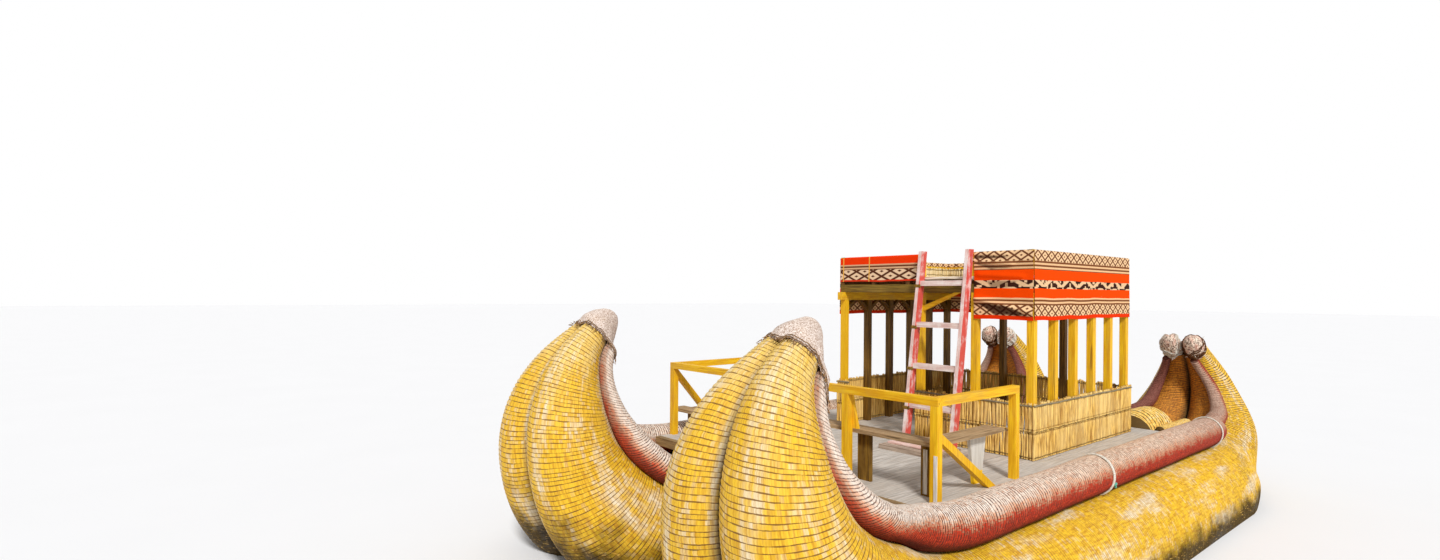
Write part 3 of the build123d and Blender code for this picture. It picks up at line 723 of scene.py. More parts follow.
def makeRoll(label, innerLabel, side, seed):
    look, inner = rollLook, innerLabel == "Inner"
    rings, counts = windings(*look["pitch"], np.random.default_rng(seed))
    length = rings[:, None]
    angle = angleGrid(look["around"], len(rings))
    lean, wobble = look["wobble"]
    lean = lean * np.sin(angle + 0.6) + wobble * ripple(length * 3, np.cos(angle) * 3, seed + 1)
    along = np.clip(length + lean, hullStart, hullEnd)
    along[0], along[-1] = hullStart, hullEnd
    lumps = look["lumps"] * ripple(length * 3, np.cos(angle) * 2 + np.sin(angle), seed + 3)
    relief = lumps - look["clearance"] - look["groove"] * grooves(counts)
    points = aroundRoll(side, inner, along, angle, relief)
    ahead, beyond, strength = look["stains"][innerLabel]
    # the rolls at the stern darken, the inner one most: partly stain, partly painted shade
    stain = smoothStep(along, straightLength - ahead, straightLength + beyond) * strength
    rollSide = 0.5 - 0.5 * np.cos(angle) + 0.1 * np.sin(angle)
    buildWound(f"gunwaleRoll{label}{innerLabel}", points, counts + 7.0 * seed, np.abs(angle - math.pi), along,
               rollMaterial, "reed_roll", f"gunwale_roll_{label}_{innerLabel}".lower(),
               stain=stain, rollSide=rollSide)


hullSides = (("Port", 1), ("Starboard", -1))
for label, side in hullSides:
    for order, innerLabel in enumerate(("Outer", "Inner")):
        seed = 21 + 10 * (side < 0) + 4 * order
        makeBundle(label, innerLabel, side, seed)
        makeRoll(label, innerLabel, side, seed + 2)
print("bundles and rolls made")

fillings = {
    # rows: y, radius
    "heart": {"node": "heart_bundle", "x": 0.0, "lift": 0.6138, "pitch": 0.075, "slant": 0.02,
              "rows": [(-3.085, .045), (-3.06, .09), (-3.0, .127), (-2.611, .16), (2.09, .16)]},
    "stern": {"node": "stern_fill", "x": 0.0, "lift": 0, "pitch": 0.07, "slant": -0.11,
              "rows": [(2.115, .276), (2.4, .30), (2.8, .298), (3.0, .258), (3.13, .186), (3.2, .095)]},
    "side": {"node": "side_fill", "x": 0.35, "lift": 0.882, "pitch": 0.04, "slant": -0.03,
             "rows": [(2.115, .057), (3.05, .056), (3.13, .044), (3.165, .022)]},
}
fillingLook = {"around": 30, "groove": 0.006, "lumps": 0.004, "easeLength": 0.12, "uneven": 0.002,
               "clearance": 0.002, "stops": np.array([0, 0.2, 0.5, 0.8])}


def makeFilling(label, side, kind, seed):
    own, look = fillings[kind], fillingLook
    rows = np.array(own["rows"])
    draw = np.random.default_rng(seed)
    first, last = rows[0, 0], rows[-1, 0]
    count = int((last - first) / own["pitch"])
    edges = np.linspace(first, last, count + 1)
    rings = np.append((edges[:-1, None] + own["pitch"] * look["stops"]).ravel(), last)
    counts = np.append((np.arange(count)[:, None] + look["stops"]).ravel(), count)
    angle = angleGrid(look["around"], len(rings))
    ease = smoothStep(rings, first, first + look["easeLength"])
    ease = (ease * (1 - smoothStep(rings, last - look["easeLength"], last)))[:, None]
    uneven = draw.uniform(-look["uneven"], look["uneven"], rings.shape)[:, None]
    y = rings[:, None] + own["slant"] * np.sin(angle) * ease + uneven
    radius = np.interp(y, rows[:, 0], rows[:, 1])
    bundleRadius, bundleX = hull["bowShape"][0][1:3]
    reach = bundleRadius + radius + look["clearance"]
    lift = own["lift"] or np.sqrt(reach ** 2 - (bundleX - own["x"]) ** 2)  # 0 where it rests on the bundles
    skin = radius - look["groove"] * grooves(counts) * ease
    skin = skin + look["lumps"] * ripple(rings[:, None] * 6, np.cos(angle) * 3, seed)
    x = side * (hull["x"] + own["x"] + skin * np.sin(angle))
    points = np.stack([x, y, hull["spineZ"] + lift + skin * np.cos(angle)], -1)
    buildWound(f"{kind}Filling{label}", points, counts + 3.0 * seed, np.abs(angle - math.pi), y,
               fillingMaterial, "reed_filling", f"{own['node']}_{label}".lower())


for label, side in hullSides:
    for order, kind in enumerate(fillings):
        makeFilling(label, side, kind, 61 + order + 5 * (side < 0))
print("fillings made")

capLook = {
    # columns: turn, half width, half height, lift
    "rows": [(124, .262, .228, .03), (132, .262, .228, .05), (140, .262, .228, .054),
             (144.5, .215, .219, .024), (149, .157, .187, .018), (153.5, .094, .143, .008),
             (156, .062, .104, .008), (157.5, .036, .068, .010), (158.4, .014, .024, .010)],
    "shares": np.concatenate([np.linspace(0, 0.42, 9), np.linspace(0.5, 1, 12)]),  # of the way to the tip
    "around": 72, "edgeTurn": 139.4, "tailTurn": 128.0, "lastTurn": 140.0, "clearance": 0.006,
    # angle, width and share of the tails over the starts of the outer and the inner roll
    "tails": ((0.62, 0.42, 1.0), (-0.62, 0.38, 0.55)),
    "ragged": 0.7, "notch": 0.9, "folds": (0.006, 0.003),  # ragged and notch in degrees of turn
    "cords": (0.03, 0.075), "cordRadius": 0.0032, "cordSeat": 0.004, "cordWander": 0.004,
    "tufts": 110, "tuftLength": (0.012, 0.045), "tuftRadii": (0.004, 0.0036, 0.003, 0.0012),
}


def sectionReach(turn, angle, centreN):
    # distance from a point in the hull's centre plane to the skin of its bundles and rolls, in one direction
    bundleRadius, bundleX, rollRadius, outerX, innerX = shapeRows(hull["bowShape"], np.array([turn]))[0, 1:]
    circles = [(bundleX, 0.0, bundleRadius), (-bundleX, 0.0, bundleRadius)]
    for way, rollX in ((1, outerX), (-1, innerX)):
        circles.append((way * rollX, rollInward(bundleRadius, bundleX, rollRadius, rollX), rollRadius))
    reach = 0.0
    for x, n, radius in circles:
        toward = x * math.sin(angle) + (n - centreN) * math.cos(angle)
        inside = toward ** 2 - x ** 2 - (n - centreN) ** 2 + radius ** 2
        if inside > 0:
            reach = max(reach, toward + math.sqrt(inside))
    return reach


def softenRound(values, width):  # running average round a ring
    return sum(np.roll(values, step) for step in range(-width, width + 1)) / (2 * width + 1)


def bindCap(label, rings, angle, seed):
    # cords just above the cap's edge, and frayed reed ends and cord ends along it
    look, lashing = capLook, MeshHeap()
    for order, offset in enumerate(look["cords"]):
        low, part = divmod(offset * (len(rings) - 1), 1)
        path = rings[int(low)] * (1 - part) + rings[int(low) + 1] * part
        path = path + unit(path - path.mean(0)) * look["cordSeat"]
        wander = ripple(angle[:, None] * 4, np.arange(3)[None, :] * 2.0, seed + 5 + order)
        path = path + look["cordWander"] * wander
        path = np.concatenate([path, path[:1]])
        lashing.addCord(path, look["cordRadius"], 7, strands=3, twist=240)
    draw = np.random.default_rng(seed + 9)
    for tuft in range(look["tufts"]):
        at = draw.integers(0, look["around"])
        out = unit(rings[0, at] - rings[0].mean(0))
        heading = unit(rings[0, at] - rings[2, at]) + 0.25 * out + draw.normal(0, 0.35, 3)
        length = draw.uniform(*look["tuftLength"])
        path = rings[0, at] + out * look["clearance"] + heading * length * np.linspace(0, 1, 4)[:, None]
        lashing.addCord(path, look["tuftRadii"], 5)
    return lashing.build(f"capLashing{label}", capBinding, "sackcloth")


def makeCap(label, side, seed):
    look = capLook
    angle = circle(look["around"])
    tail = np.zeros_like(angle)
    for at, width, most in look["tails"]:
        tail = np.maximum(tail, most * np.exp(-(np.angle(np.exp(1j * (angle - at))) / width) ** 2))
    ragged = look["ragged"] * ripple(np.cos(angle) * 6, np.sin(angle) * 6, seed, 2.0)
    edge = look["edgeTurn"] + ragged - tail * (look["edgeTurn"] - look["tailTurn"])
    edge = edge - look["notch"] * np.exp(-(np.sin(angle) / 0.25) ** 2) * (1 - tail)
    rows = np.array(look["rows"])
    broad, fine = look["folds"]
    rings = []
    for share in look["shares"]:
        turn = edge + (rows[-1, 0] - edge) * share
        wide, tall, lift = readRows(rows, turn)
        under = np.minimum(turn, look["lastTurn"])
        reach = np.array([sectionReach(*place) for place in zip(under, angle, lift)])
        reach = np.maximum(reach, softenRound(reach, 4)) + look["clearance"]
        oval = wide * tall / np.sqrt((tall * np.sin(angle)) ** 2 + (wide * np.cos(angle)) ** 2)
        beyond = smoothStep(turn, look["lastTurn"] - 0.5, look["lastTurn"] + 3.5)
        folds = broad * ripple(angle * 3, turn / 9, seed + 2, 1.4) + fine * np.sin(11 * angle + turn / 3)
        reach = reach * (1 - beyond) + oval * beyond + folds * smoothStep(wide, 0.03, 0.2)
        across, inward = reach * np.sin(angle), lift + reach * np.cos(angle)
        rings.append(toBoat(side, False, across, inward, bendPath("bow", turn)[:4]))
    rings = np.array(rings)
    tip = rings[-1].mean(0) + np.array([0, 0.012, -0.004])
    count, around = rings.shape[:2]
    last = (count - 1) * around
    faces = gridFaces(count, around, True).tolist()
    faces += [[count * around, last + step, last + (step + 1) % around] for step in range(around)]
    frayed = np.append(np.repeat(1.0 - smoothStep(look["shares"], 0.0, 0.11), around), 0)
    heap = MeshHeap()
    heap.add(np.concatenate([rings.reshape(-1, 3), tip[None]]), faces, frayed=frayed)
    cap = heap.build(f"sackCap{label}", sackcloth, "sackcloth", [f"bow_cap_{label}".lower()])
    return cap, bindCap(label, rings, angle, seed)


caps = {label: makeCap(label, side, 81 + (side < 0)) for label, side in hullSides}
print("caps made")

knobLook = {
    "x": 0.142, "around": 36, "uneven": {False: 0.09, True: 0.2}, "cordSeat": 1.045,
    "looseEnds": 14, "endLength": (0.02, 0.05), "endRadii": (0.004, 0.004, 0.003, 0.0015),
    "turns": np.concatenate([np.linspace(136, 153, 16), np.linspace(154, 160, 9)])[:, None],
    # columns: turn, half width, half height, lift
    "rows": [(138, .110, .134, .046), (143, .131, .150, .046), (149, .134, .150, .044),
             (154, .112, .124, .040), (158, .070, .078, .036), (160, .032, .036, .034)],
    # columns: middle turn, tilt of the loop, angle of the tilt, cord radius
    "cords": [(139, 0.6, 0, .009), (141.2, 1.2, 1, .008), (144.5, 2.5, 2.2, .008), (147.5, 2.8, 4, .0075),
              (150.5, 2.2, 5.4, .007), (146, 6.5, 0.7, .007), (148, 7.5, 3.6, .007)],
}


def knobPoints(side, inner, turn, angle, swell, seed):
    width, tall, lift = readRows(np.array(knobLook["rows"]), turn)
    lumps = knobLook["uneven"][inner] * ripple(np.cos(angle) * 4, np.sin(angle) * 4 + turn / 6, seed, 1.2)
    size = swell * (1 + lumps)
    across = knobLook["x"] + size * width * np.sin(angle)
    return toBoat(side, inner, across, lift + size * tall * np.cos(angle), bendPath("stern", turn)[:4])


def makeKnobs(label, side, seed):
    look = knobLook
    heap, ropes, lashings = MeshHeap(), MeshHeap(), MeshHeap()
    angle = angleGrid(look["around"], len(look["turns"]))
    steps = np.linspace(0, 2 * math.pi, 61)
    for inner in (False, True):
        own = seed + 3 * inner
        wound = ropes if inner else lashings
        heap.addTube(knobPoints(side, inner, look["turns"] + 0 * angle, angle, 1.0, own))
        for middle, tilt, heading, radius in look["cords"]:
            turn = middle + tilt * np.sin(steps + heading)
            path = knobPoints(side, inner, turn, steps, look["cordSeat"], own)
            wound.addCord(path, radius, 7, strands=3, twist=210)
        draw = np.random.default_rng(own)
        centre = knobPoints(side, inner, 146.0, 0.0, 0.0, own)
        for looseEnd in range(look["looseEnds"]):
            start = knobPoints(side, inner, draw.uniform(137, 150), draw.uniform(0, 6.28), 1.0, own)
            heading = unit(start - centre) * 0.8 + draw.normal(0, 0.5, 3)
            path = start + heading * np.linspace(0, draw.uniform(*look["endLength"]), 4)[:, None]
            ropes.addCord(path, look["endRadii"], 5)
    heap.build(f"sternKnobs{label}", knobMaterial, "knob_lashing", [f"stern_knobs_{label}".lower()])
    ropes.build(f"knobCords{label}", whiteRope, "knob_lashing")
    lashings.build(f"knobLashing{label}", darkLashing, "knob_lashing")


for label, side in hullSides:
    makeKnobs(label, side, 91 + 11 * (side < 0))
print("knobs made")

ropeLook = {
    # loops round the port outer roll: y, lean, turns
    "loops": [(-0.405, 0.03, 2), (3.05, 0.05, 1)],
    "clearance": 0.0075, "radius": 0.0085, "beside": 0.017,
    # knot of the forward loop: angle round the roll, distance from it, size, cord radius
    "knot": (112, 0.012, 0.014, 0.006),
}


def makeRopeLoops():
    look = ropeLook
    heap, knot = MeshHeap(), MeshHeap()
    angle = np.linspace(0, 2 * math.pi, 97)
    for loopY, lean, turns in look["loops"]:
        for turn in range(turns):
            along = loopY - hull["bowY"] + lean * np.cos(angle + 0.5) + look["beside"] * turn
            path = aroundRoll(1, False, along, angle, look["clearance"])
            heap.addCord(path, look["radius"], 8, strands=3, twist=190)
        if turns > 1:
            at, distance, size, radius = look["knot"]
            centre = aroundRoll(1, False, along[0], math.radians(at), distance)
            steps = np.linspace(0, 2 * math.pi, 60)
            for swing in range(2):
                trefoil = [0.4 * np.sin(3 * steps + swing), np.sin(steps) + 0.8 * np.sin(2 * steps + swing),
                           np.cos(steps) - 0.8 * np.cos(2 * steps + swing)]
                path = centre + size * np.stack(trefoil, -1)
                knot.addCord(path, radius, 7, strands=3, twist=260)
    heap.build("rollLoops", whiteRope, "knob_lashing")
    knot.build("rollKnot", greenCord, "knob_lashing")


makeRopeLoops()
print("rope loops made")

wallLook = {
    "low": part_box("deck_planks")[1].z + 0.004, "high": 1.604, "pitch": 0.033, "halfDepth": 0.0165,
    "seams": (0.05, 0.5, 0.95), "tiers": (0, 0.5, 1), "tierSeams": (0.07, 0.93), "around": 10,
    "fixed": (0, 0.03, 0.1, 0.22, 0.36, 0.68, 0.82, 0.93, 1), "beside": (-0.045, -0.018, 0, 0.018, 0.045),
    "stitchStep": 0.016, "wave": 0.004, "rim": True, "material": wallStraw,
}
parapetLook = {
    "low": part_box("floor_boards")[1].z + 0.002, "high": 3.092, "pitch": 0.026, "halfDepth": 0.0095,
    "seams": (0.1, 0.5, 0.9), "tiers": (0, 1), "tierSeams": (0.1, 0.5, 0.9), "around": 8,
    "fixed": (0, 0.3, 0.7, 1), "beside": (-0.05, 0, 0.05),
    "stitchStep": 0.02, "wave": 0.001, "rim": False, "material": parapetStraw,
}
bunchLook = {"seamWidth": 0.022, "seamDepth": 0.3, "uneven": 0.05, "ridges": (0.86, 1.12), "ragged": 0.014,
             "longer": 0.012, "drift": 0.006, "share": 0.9, "widths": (0.6, 1.4), "depths": (0.8, 1)}
seamLook = {"inset": 0.004, "radius": 0.0035, "seat": 0.84, "sag": 0.0022, "wave": 0.003}
rimLook = {"inset": 0.002, "radius": 0.0085, "seat": 0.55, "step": 0.02, "below": 0.02, "wave": 0.004}


def addBunch(heap, draw, look, start, ahead, out, low, high, halfWidth, halfDepth):
    # one upright bunch of reeds, drawn in where cords pass round it
    own, around = bunchLook, look["around"]
    beside = [seam + step for seam in look["tierSeams"] for step in look["beside"]]
    heights = np.array([height for height in sorted([*look["fixed"], *beside]) if 0 <= height <= 1])
    near = np.exp(-((heights[:, None] - np.array(look["tierSeams"])) / own["seamWidth"]) ** 2)
    uneven = draw.uniform(-own["uneven"], own["uneven"], len(heights))
    pinch = np.prod(1 - own["seamDepth"] * near, 1) * (1 + uneven)
    angle = circle(around)
    thick = pinch[:, None] * draw.uniform(*own["ridges"], around)
    ragged = draw.uniform(-own["ragged"], own["ragged"], (2, around))
    z = low + (high - low) * heights[:, None] + 0 * angle
    z[0] += np.maximum(ragged[0], 0) * 0.6
    z[-1] += ragged[1] + draw.uniform(-own["longer"], own["longer"])
    drift = draw.uniform(-own["drift"], own["drift"], 2)
    sway = drift[0] + (drift[1] - drift[0]) * heights
    sway = sway + look["wave"] * np.sin(5 * heights + draw.uniform(0, 6))
    along = sway[:, None] + halfWidth * thick * np.cos(angle)
    rings = start + along[..., None] * ahead + (halfDepth * thick * np.sin(angle))[..., None] * out
    rings[..., 2] = z
    seam = np.tile(near.max(1)[:, None], (1, around))
    heap.addTube(rings, bunchTone=np.full(z.shape, draw.uniform(0, 1)), seam=seam)


def camel(node):  # a node's name in camel case
    first, *rest = node.split("_")
    return first + "".join(part.capitalize() for part in rest)


def makeMat(node, look, seed, runs):
    # runs: (start point, end point, outward direction) of the mat's middle line in plan
    bunches, stitches, rims = MeshHeap(), MeshHeap(), MeshHeap()
    draw = np.random.default_rng(seed)
    low, tall, halfDepth = look["low"], look["high"] - look["low"], look["halfDepth"]
    for run in runs:
        begin, end, out = [np.array([*corner, 0.0]) for corner in run]
        length, ahead = np.linalg.norm(end - begin), unit(end - begin)
        count = max(2, round(length / look["pitch"]))
        for bottom, top in zip(look["tiers"][:-1], look["tiers"][1:]):
            widths = draw.uniform(*bunchLook["widths"], count)
            edges = np.concatenate([[0], np.cumsum(widths)]) * length / widths.sum()
            for left, right in zip(edges[:-1], edges[1:]):
                middle = begin + ahead * (left + right) / 2
                halfWidth = (right - left) / 2 * bunchLook["share"]
                addBunch(bunches, draw, look, middle, ahead, out, low + tall * bottom, low + tall * top,
                         halfWidth, halfDepth * draw.uniform(*bunchLook["depths"]))
        own = seamLook
        steps = np.linspace(own["inset"], length - own["inset"], int(length / look["stitchStep"]))
        for seam in look["seams"]:
            for face in (-1, 1):
                sag = own["sag"] * np.sin(steps / look["pitch"] * 2 * math.pi)
                path = begin + ahead * steps[:, None] + out * (face * halfDepth * own["seat"] + sag)[:, None]
                path[:, 2] = low + tall * seam + own["wave"] * np.sin(steps * 31)
                stitches.addCord(path, own["radius"], 6)
        if look["rim"]:
            own = rimLook
            steps = np.linspace(own["inset"], length - own["inset"], int(length / own["step"]))
            path = begin + ahead * steps[:, None] + out * (halfDepth * own["seat"])
            path[:, 2] = look["high"] - own["below"] + own["wave"] * np.sin(steps * 9)
            rims.addCord(path, own["radius"], 8, strands=3, twist=130)
    bunches.build(camel(node), look["material"], "reed_mat", [node])
    stitches.build(camel(node) + "Stitches", stitchCord, "reed_mat")
    if look["rim"]:
        rims.build(camel(node) + "Rim", rimCord, "reed_mat")


def lengthwise(box, x, way):  # run of a mat along the boat, over the length of a box
    return (x, box[0].y), (x, box[1].y), (way, 0)


def crosswise(y, left, right, way):
    return (left, y), (right, y), (0, way)


def midway(box, axis):
    return (box[0][axis] + box[1][axis]) / 2


port, starboard, front, back = [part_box(f"reed_wall_{end}") for end in ("port", "starboard", "front", "back")]
sides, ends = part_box("parapet_mat_sides"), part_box("parapet_mat_ends")
matHalf = 0.01
entrance = (-0.83, 0.14)  # x of the gap in the front wall
ladderBay = (0.2245, 0.8395)  # x of the gap in the front mat
mats = {
    "reed_wall_port": (wallLook, 131, [lengthwise(port, midway(port, 0), 1)]),
    "reed_wall_starboard": (wallLook, 133, [lengthwise(starboard, midway(starboard, 0), -1)]),
    "reed_wall_front": (wallLook, 137, [crosswise(midway(front, 1), entrance[1], front[1].x, -1),
                                        crosswise(midway(front, 1), front[0].x, entrance[0], -1)]),
    "reed_wall_back": (wallLook, 139, [crosswise(midway(back, 1), back[0].x, back[1].x, 1)]),
    "parapet_mat_sides": (parapetLook, 151, [lengthwise(sides, sides[1].x - matHalf, 1),
                                             lengthwise(sides, sides[0].x + matHalf, -1)]),
    "parapet_mat_ends": (parapetLook, 157, [crosswise(ends[1].y - matHalf, ends[0].x, ends[1].x, 1),
                                            crosswise(ends[0].y + matHalf, ends[0].x, ladderBay[0], -1),
                                            crosswise(ends[0].y + matHalf, ladderBay[1], ends[1].x, -1)]),
}
for node, settings in mats.items():
    makeMat(node, *settings)
print("mats made")

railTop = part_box("parapet_rail_sides")[1].z
clothLook = {"inside": 0.05, "over": 0.075, "step": 0.012, "lift": 0.004, "column": 0.016, "thick": 0.014,
             "cornerGap": 0.008, "railGap": 0.005, "hemWave": 0.006, "least": 0.003}
plainFolds = {"depth": 0.012, "swag": 0, "creases": [], "shades": []}
drapedFolds = {
    "depth": 0.014, "swag": 0.016,
    # long slanting folds: share across and down at the start and at the end, height, width
    "creases": [(0.05, 0.73, 0.95, 0.9, 0.03, 0.04), (0.0, 0.03, 0.6, 0.06, 0.018, 0.025),
                (0.0, 0.14, 0.65, 0.21, 0.016, 0.025), (0.1, 0.36, 0.8, 0.4, 0.014, 0.04)],
    # painted shadow under a fold: darkness, corners clockwise as shares across and down
    "shades": [(0.9, [(0.07, 0.765), (0.58, 0.80), (0.93, 0.935), (0.36, 0.935)]),
               (0.85, [(-0.02, 0.045), (0.3, 0.06), (0.62, 0.085), (0.4, 0.105), (-0.02, 0.1)]),
               (0.7, [(-0.02, 0.165), (0.3, 0.2), (0.62, 0.25), (0.3, 0.262)]),
               (0.55, [(0.2, 0.44), (0.72, 0.44), (0.66, 0.53), (0.3, 0.53)])],
}
# outward direction, material, seed, folds, where the fold over the rail stops short of the face's two ends
cloths = {
    "cloth_port": ((1, 0), longCloth, 201, plainFolds, (0.008, 0.008)),
    "cloth_starboard": ((-1, 0), longCloth, 203, plainFolds, (0.008, 0.008)),
    "cloth_back": ((0, 1), longCloth, 205, plainFolds, (0.08, 0.08)),
    "cloth_front_port": ((0, -1), longCloth, 207, drapedFolds, (0.0, 0.08)),
    "cloth_front_starboard": ((0, -1), shortCloth, 209, plainFolds, (0.08, 0.0)),
}


def clothProfile(drop):
    # (outward, height over the rail's top, metres down the face) from the inner edge to the hem
    inside, over, lift, gap = [clothLook[key] for key in ("inside", "over", "lift", "railGap")]
    corners = [(-over - gap, -inside), (-over - gap, lift), (gap, lift), (gap, -drop)]
    points = []
    for (d0, h0), (d1, h1) in zip(corners[:-1], corners[1:]):
        count = max(2, int(math.hypot(d1 - d0, h1 - h0) / clothLook["step"]))
        points += [(d0 + (d1 - d0) * step / count, h0 + (h1 - h0) * step / count) for step in range(count)]
    points = np.array(points + corners[-1:])
    for blur in range(2):  # rounds the corners over the rail
        points[1:-1] = (points[:-2] + 2 * points[1:-1] + points[2:]) / 4
    length = np.concatenate([[0], np.cumsum(np.hypot(*np.diff(points, axis=0).T))])
    return points, length - (inside + over + lift)


def creaseHeight(u, v, start, end, tall, wide):
    step = end - start
    size = np.hypot(*step)
    t = np.clip(((u - start[0]) * step[0] + (v - start[1]) * step[1]) / size ** 2, 0, 1)
    besideU, besideV = u - start[0] - t * step[0], v - start[1] - t * step[1]
    offset = (besideU * step[1] - besideV * step[0]) / size
    ridge = np.exp(-(np.hypot(besideU, besideV) / wide) ** 2) * (1 + 0.9 * np.tanh(offset / wide * 1.6))
    return tall * ridge * smoothStep(v, 0.0, 0.06)


def makeCloth(node, out, material, seed, folds, foldEnds):
    low, high = np.array(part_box(node))
    drop = railTop - low[2]
    out = np.array([*out, 0.0])
    ahead = np.array([-out[1], out[0], 0.0])
    half = (high - low) / 2
    face = ((low + high) / 2 + out * (half - clothLook["thick"])) * (1, 1, 0)  # middle of the face in plan
    length = 2 * abs(ahead @ half) - 2 * clothLook["cornerGap"] * abs(out[0])
    begin = face - ahead * length / 2
    profile, down = clothProfile(drop)
    u, v = np.meshgrid(np.linspace(0, length, int(length / clothLook["column"])), down)
    share = v / drop
    outward, height = [np.repeat(profile[:, axis:axis + 1], u.shape[1], 1) for axis in (0, 1)]
    depth = folds["depth"] * (0.55 + 0.5 * ripple(u * 9, v * 1.2, seed, 1.2))
    swag = folds["swag"] * smoothStep(v, 0.02, 0.1) * (1 - smoothStep(share, 0.1, 0.5))
    swag = swag * (0.5 + 0.5 * ripple(u * 2.5 + v * 4, v * 26, seed + 3, 0.8))
    outward = outward + smoothStep(v, 0.03, drop) * depth + swag
    shares = np.array([length, drop])
    for *ends, tall, wide in folds["creases"]:
        outward = outward + creaseHeight(u, v, ends[:2] * shares, ends[2:] * shares, tall, wide)
    foldShade = np.zeros_like(u)
    for deep, corners in folds["shades"]:
        inside = np.full(u.shape, 9.0)
        for (a0, v0), (a1, v1) in zip(corners, corners[1:] + corners[:1]):
            du, dv = (a1 - a0) * length, (v1 - v0) * drop
            aside = (du * (v - v0 * drop) - dv * (u - a0 * length)) / math.hypot(du, dv)
            inside = np.minimum(inside, aside + 0.004 * ripple(u * 30, v * 30, seed + 8))
        foldShade = np.maximum(foldShade, deep * smoothStep(inside, -0.006, 0.006))
    height = height + smoothStep(v, 0.1, drop) * clothLook["hemWave"] * ripple(u * 5, 0 * u, seed + 5)
    across = np.where(v < 0, np.clip(u, foldEnds[0], length - foldEnds[1]), u)
    outward = np.where(v > 0, np.maximum(outward, clothLook["least"]), outward)
    points = begin + ahead * across[..., None] + out * outward[..., None]
    points[..., 2] = railTop + height
    heap = MeshHeap()
    heap.add(points.reshape(-1, 3), gridFaces(*u.shape).tolist(), weave=np.stack([u, v, share], -1),
             foldShade=foldShade)
    cloth = heap.build(camel(node), material, "woven_cloth", [node])
    round(length * 1.02, 3)


for node, settings in cloths.items():
    makeCloth(node, *settings)
print("cloths hung")

boardLook = {"rings": 14, "chamfer": 0.22, "wear": 0.05}


def addBoard(heap, low, high, seed):
    # a thin board with worn, slightly uneven edges
    low, high = np.array(low), np.array(high)
    size, middle = high - low, (low + high) / 2
    long = int(np.argmax(size))
    wide, thin = [axis for axis in range(3) if axis != long]
    a, b = size[wide] / 2, size[thin] / 2
    chamfer = min(size[wide], size[thin]) * boardLook["chamfer"]
    ring = []
    for sa, sb in ((1, 1), (-1, 1), (-1, -1), (1, -1)):
        pair = [(sa * a, sb * (b - chamfer)), (sa * (a - chamfer), sb * b)]
        ring += pair if sa * sb > 0 else pair[::-1]
    ring = np.array(ring)
    rings = np.zeros((boardLook["rings"], len(ring), 3))
    draw = np.random.default_rng(seed)
    for step, points in enumerate(rings):
        wear = 1 - draw.uniform(0, boardLook["wear"], len(ring))
        points[:, wide] = middle[wide] + ring[:, 0] * wear
        points[:, thin] = middle[thin] + ring[:, 1] * wear
        points[:, long] = low[long] + size[long] * step / (len(rings) - 1)
    heap.addTube(rings)


def makeBoards(name, material, slotName, boards, seed):  # boards: lowest and highest corner of each
    heap = MeshHeap()
    for order, (low, high) in enumerate(boards):
        addBoard(heap, low, high, seed + order)
    heap.build(name, material, slotName, smooth=False)


# tenons of the rungs, let into the front of the leaning rail; their dark timber is partly painted shade in the
# notches
tenonLook = {"tops": (1.471, 1.908, 2.371, 2.838), "railFront": -0.8425, "lean": 0.1445, "floor": 2.912,
             # corners, from the rail's front and the rung's top
             "low": (0.232, -0.012, -0.052), "high": (0.288, 0.03, -0.012)}
tenons = []
for top in tenonLook["tops"]:
    railFront = tenonLook["railFront"] + tenonLook["lean"] * (top - tenonLook["floor"])
    tenons.append([np.array([0, railFront, top]) + tenonLook[corner] for corner in ("low", "high")])
makeBoards("rungTenons", timber["benchLegs"], "ladder_paint", tenons, 321)

# pale strips nailed to the bench's leg and to the railing's corner post: x0, x1, y
stripRows = [(1.562, 1.602, midway(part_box("bench_front"), 1) - 0.0195), (1.757, 1.791, -2.8065)]
stripHalf, stripLow, stripHigh = 0.004, 1.05, 1.42
strips = [((x0, y - stripHalf, stripLow), (x1, y + stripHalf, stripHigh)) for x0, x1, y in stripRows]
makeBoards("paleStrips", timber["paleStrips"], "yellow_timber", strips, 301)
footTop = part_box("foot_board")[1].z
footPlank = ((0.24, -1.36, footTop + 0.001), (0.86, -1.22, footTop + 0.023))
makeBoards("footPlank", timber["pinkPlank"], "weathered_plank", [footPlank], 311)
print("small pieces made")


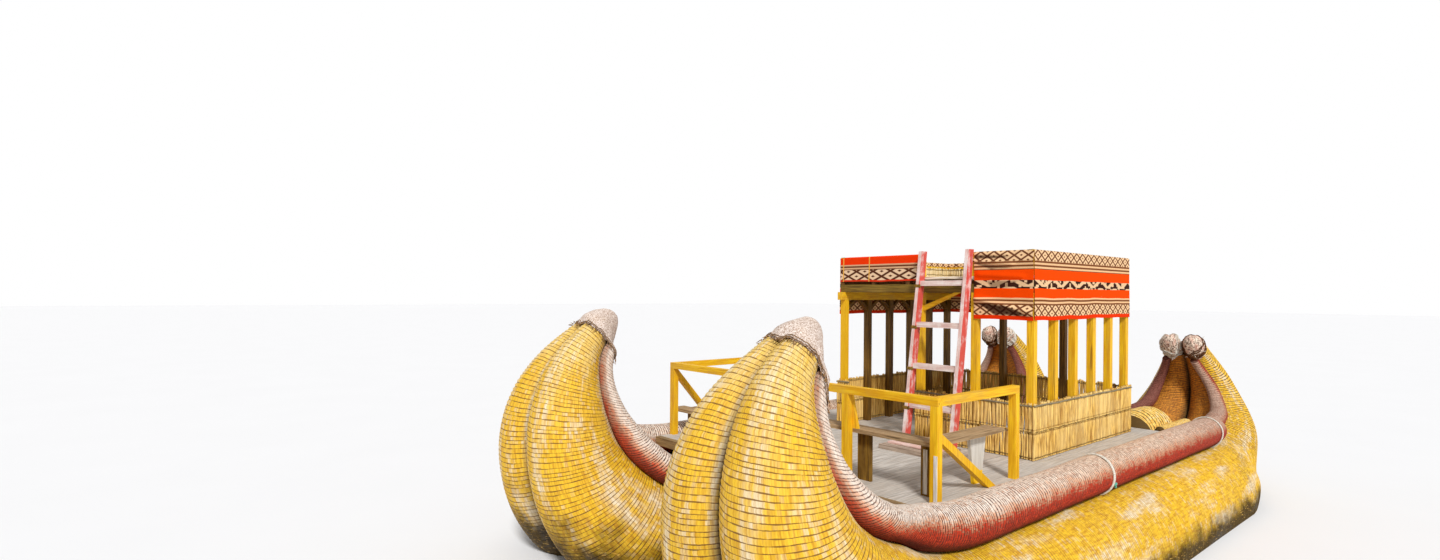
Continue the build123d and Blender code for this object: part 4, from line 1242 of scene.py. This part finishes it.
def floorSkin(tree):
    return {"Base Color": blend(noise(place(tree), 0.6, 2.0), "f1f1f2", "f4f4f5")}


stageLook = {"floorHalf": 150.0, "sunPower": 2.7, "sunAngle": 0.16, "sunTowards": (-0.62, 0.42, -0.66),
             "worldLight": 0.5, "worldSeen": 1.0}
half = stageLook["floorHalf"]
floorMesh = bpy.data.meshes.new("floor")
corners = [(-half, -half, 0), (half, -half, 0), (half, half, 0), (-half, half, 0)]
floorMesh.from_pydata(corners, [], [(0, 1, 2, 3)])
floorMesh.materials.append(makeMaterial("floorPale", 0.9, floorSkin))
addObject("floor", floorMesh)

world = bpy.data.worlds.new("studio")
bpy.context.scene.world = world
world.use_nodes = True
background = world.node_tree.nodes["Background"].inputs
rays = put("LightPath", {}, world.node_tree).outputs
direct, glossy, through = [Field(rays[f"Is {kind} Ray"]) for kind in ("Camera", "Glossy", "Transmission")]
seen = calc("MAXIMUM", direct, calc("MAXIMUM", glossy, through))
background["Color"].default_value = (1, 1, 1, 1)
feed(background["Strength"], remap(seen, 0.0, 1.0, stageLook["worldLight"], stageLook["worldSeen"]))

sun = bpy.data.lights.new("keyLight", "SUN")
sun.energy = stageLook["sunPower"]
sun.angle = stageLook["sunAngle"]
sunTurn = Vector(stageLook["sunTowards"]).to_track_quat("-Z", "Y")
addObject("keyLight", sun).rotation_euler = sunTurn.to_euler()

cameraLook = {"place": (4.938, -7.706, 2.699), "right": (0.6421, 0.7666, 0), "roll": 0.0073, "lens": 17.5,
              "sensor": 36, "shift": 14 / 1440}
camera = bpy.data.cameras.new("camera")
camera.lens = cameraLook["lens"]
camera.sensor_width = cameraLook["sensor"]
camera.shift_y = cameraLook["shift"]
right, up = Vector(cameraLook["right"]), Vector((0, 0, 1))
axes = Matrix((right + cameraLook["roll"] * up, up - cameraLook["roll"] * right, right.cross(up)))
cameraObject = addObject("camera", camera)
cameraObject.matrix_world = Matrix.Translation(cameraLook["place"]) @ axes.transposed().to_4x4()
bpy.context.scene.camera = cameraObject
bpy.context.scene.view_settings.view_transform = "Standard"
print("stage set")
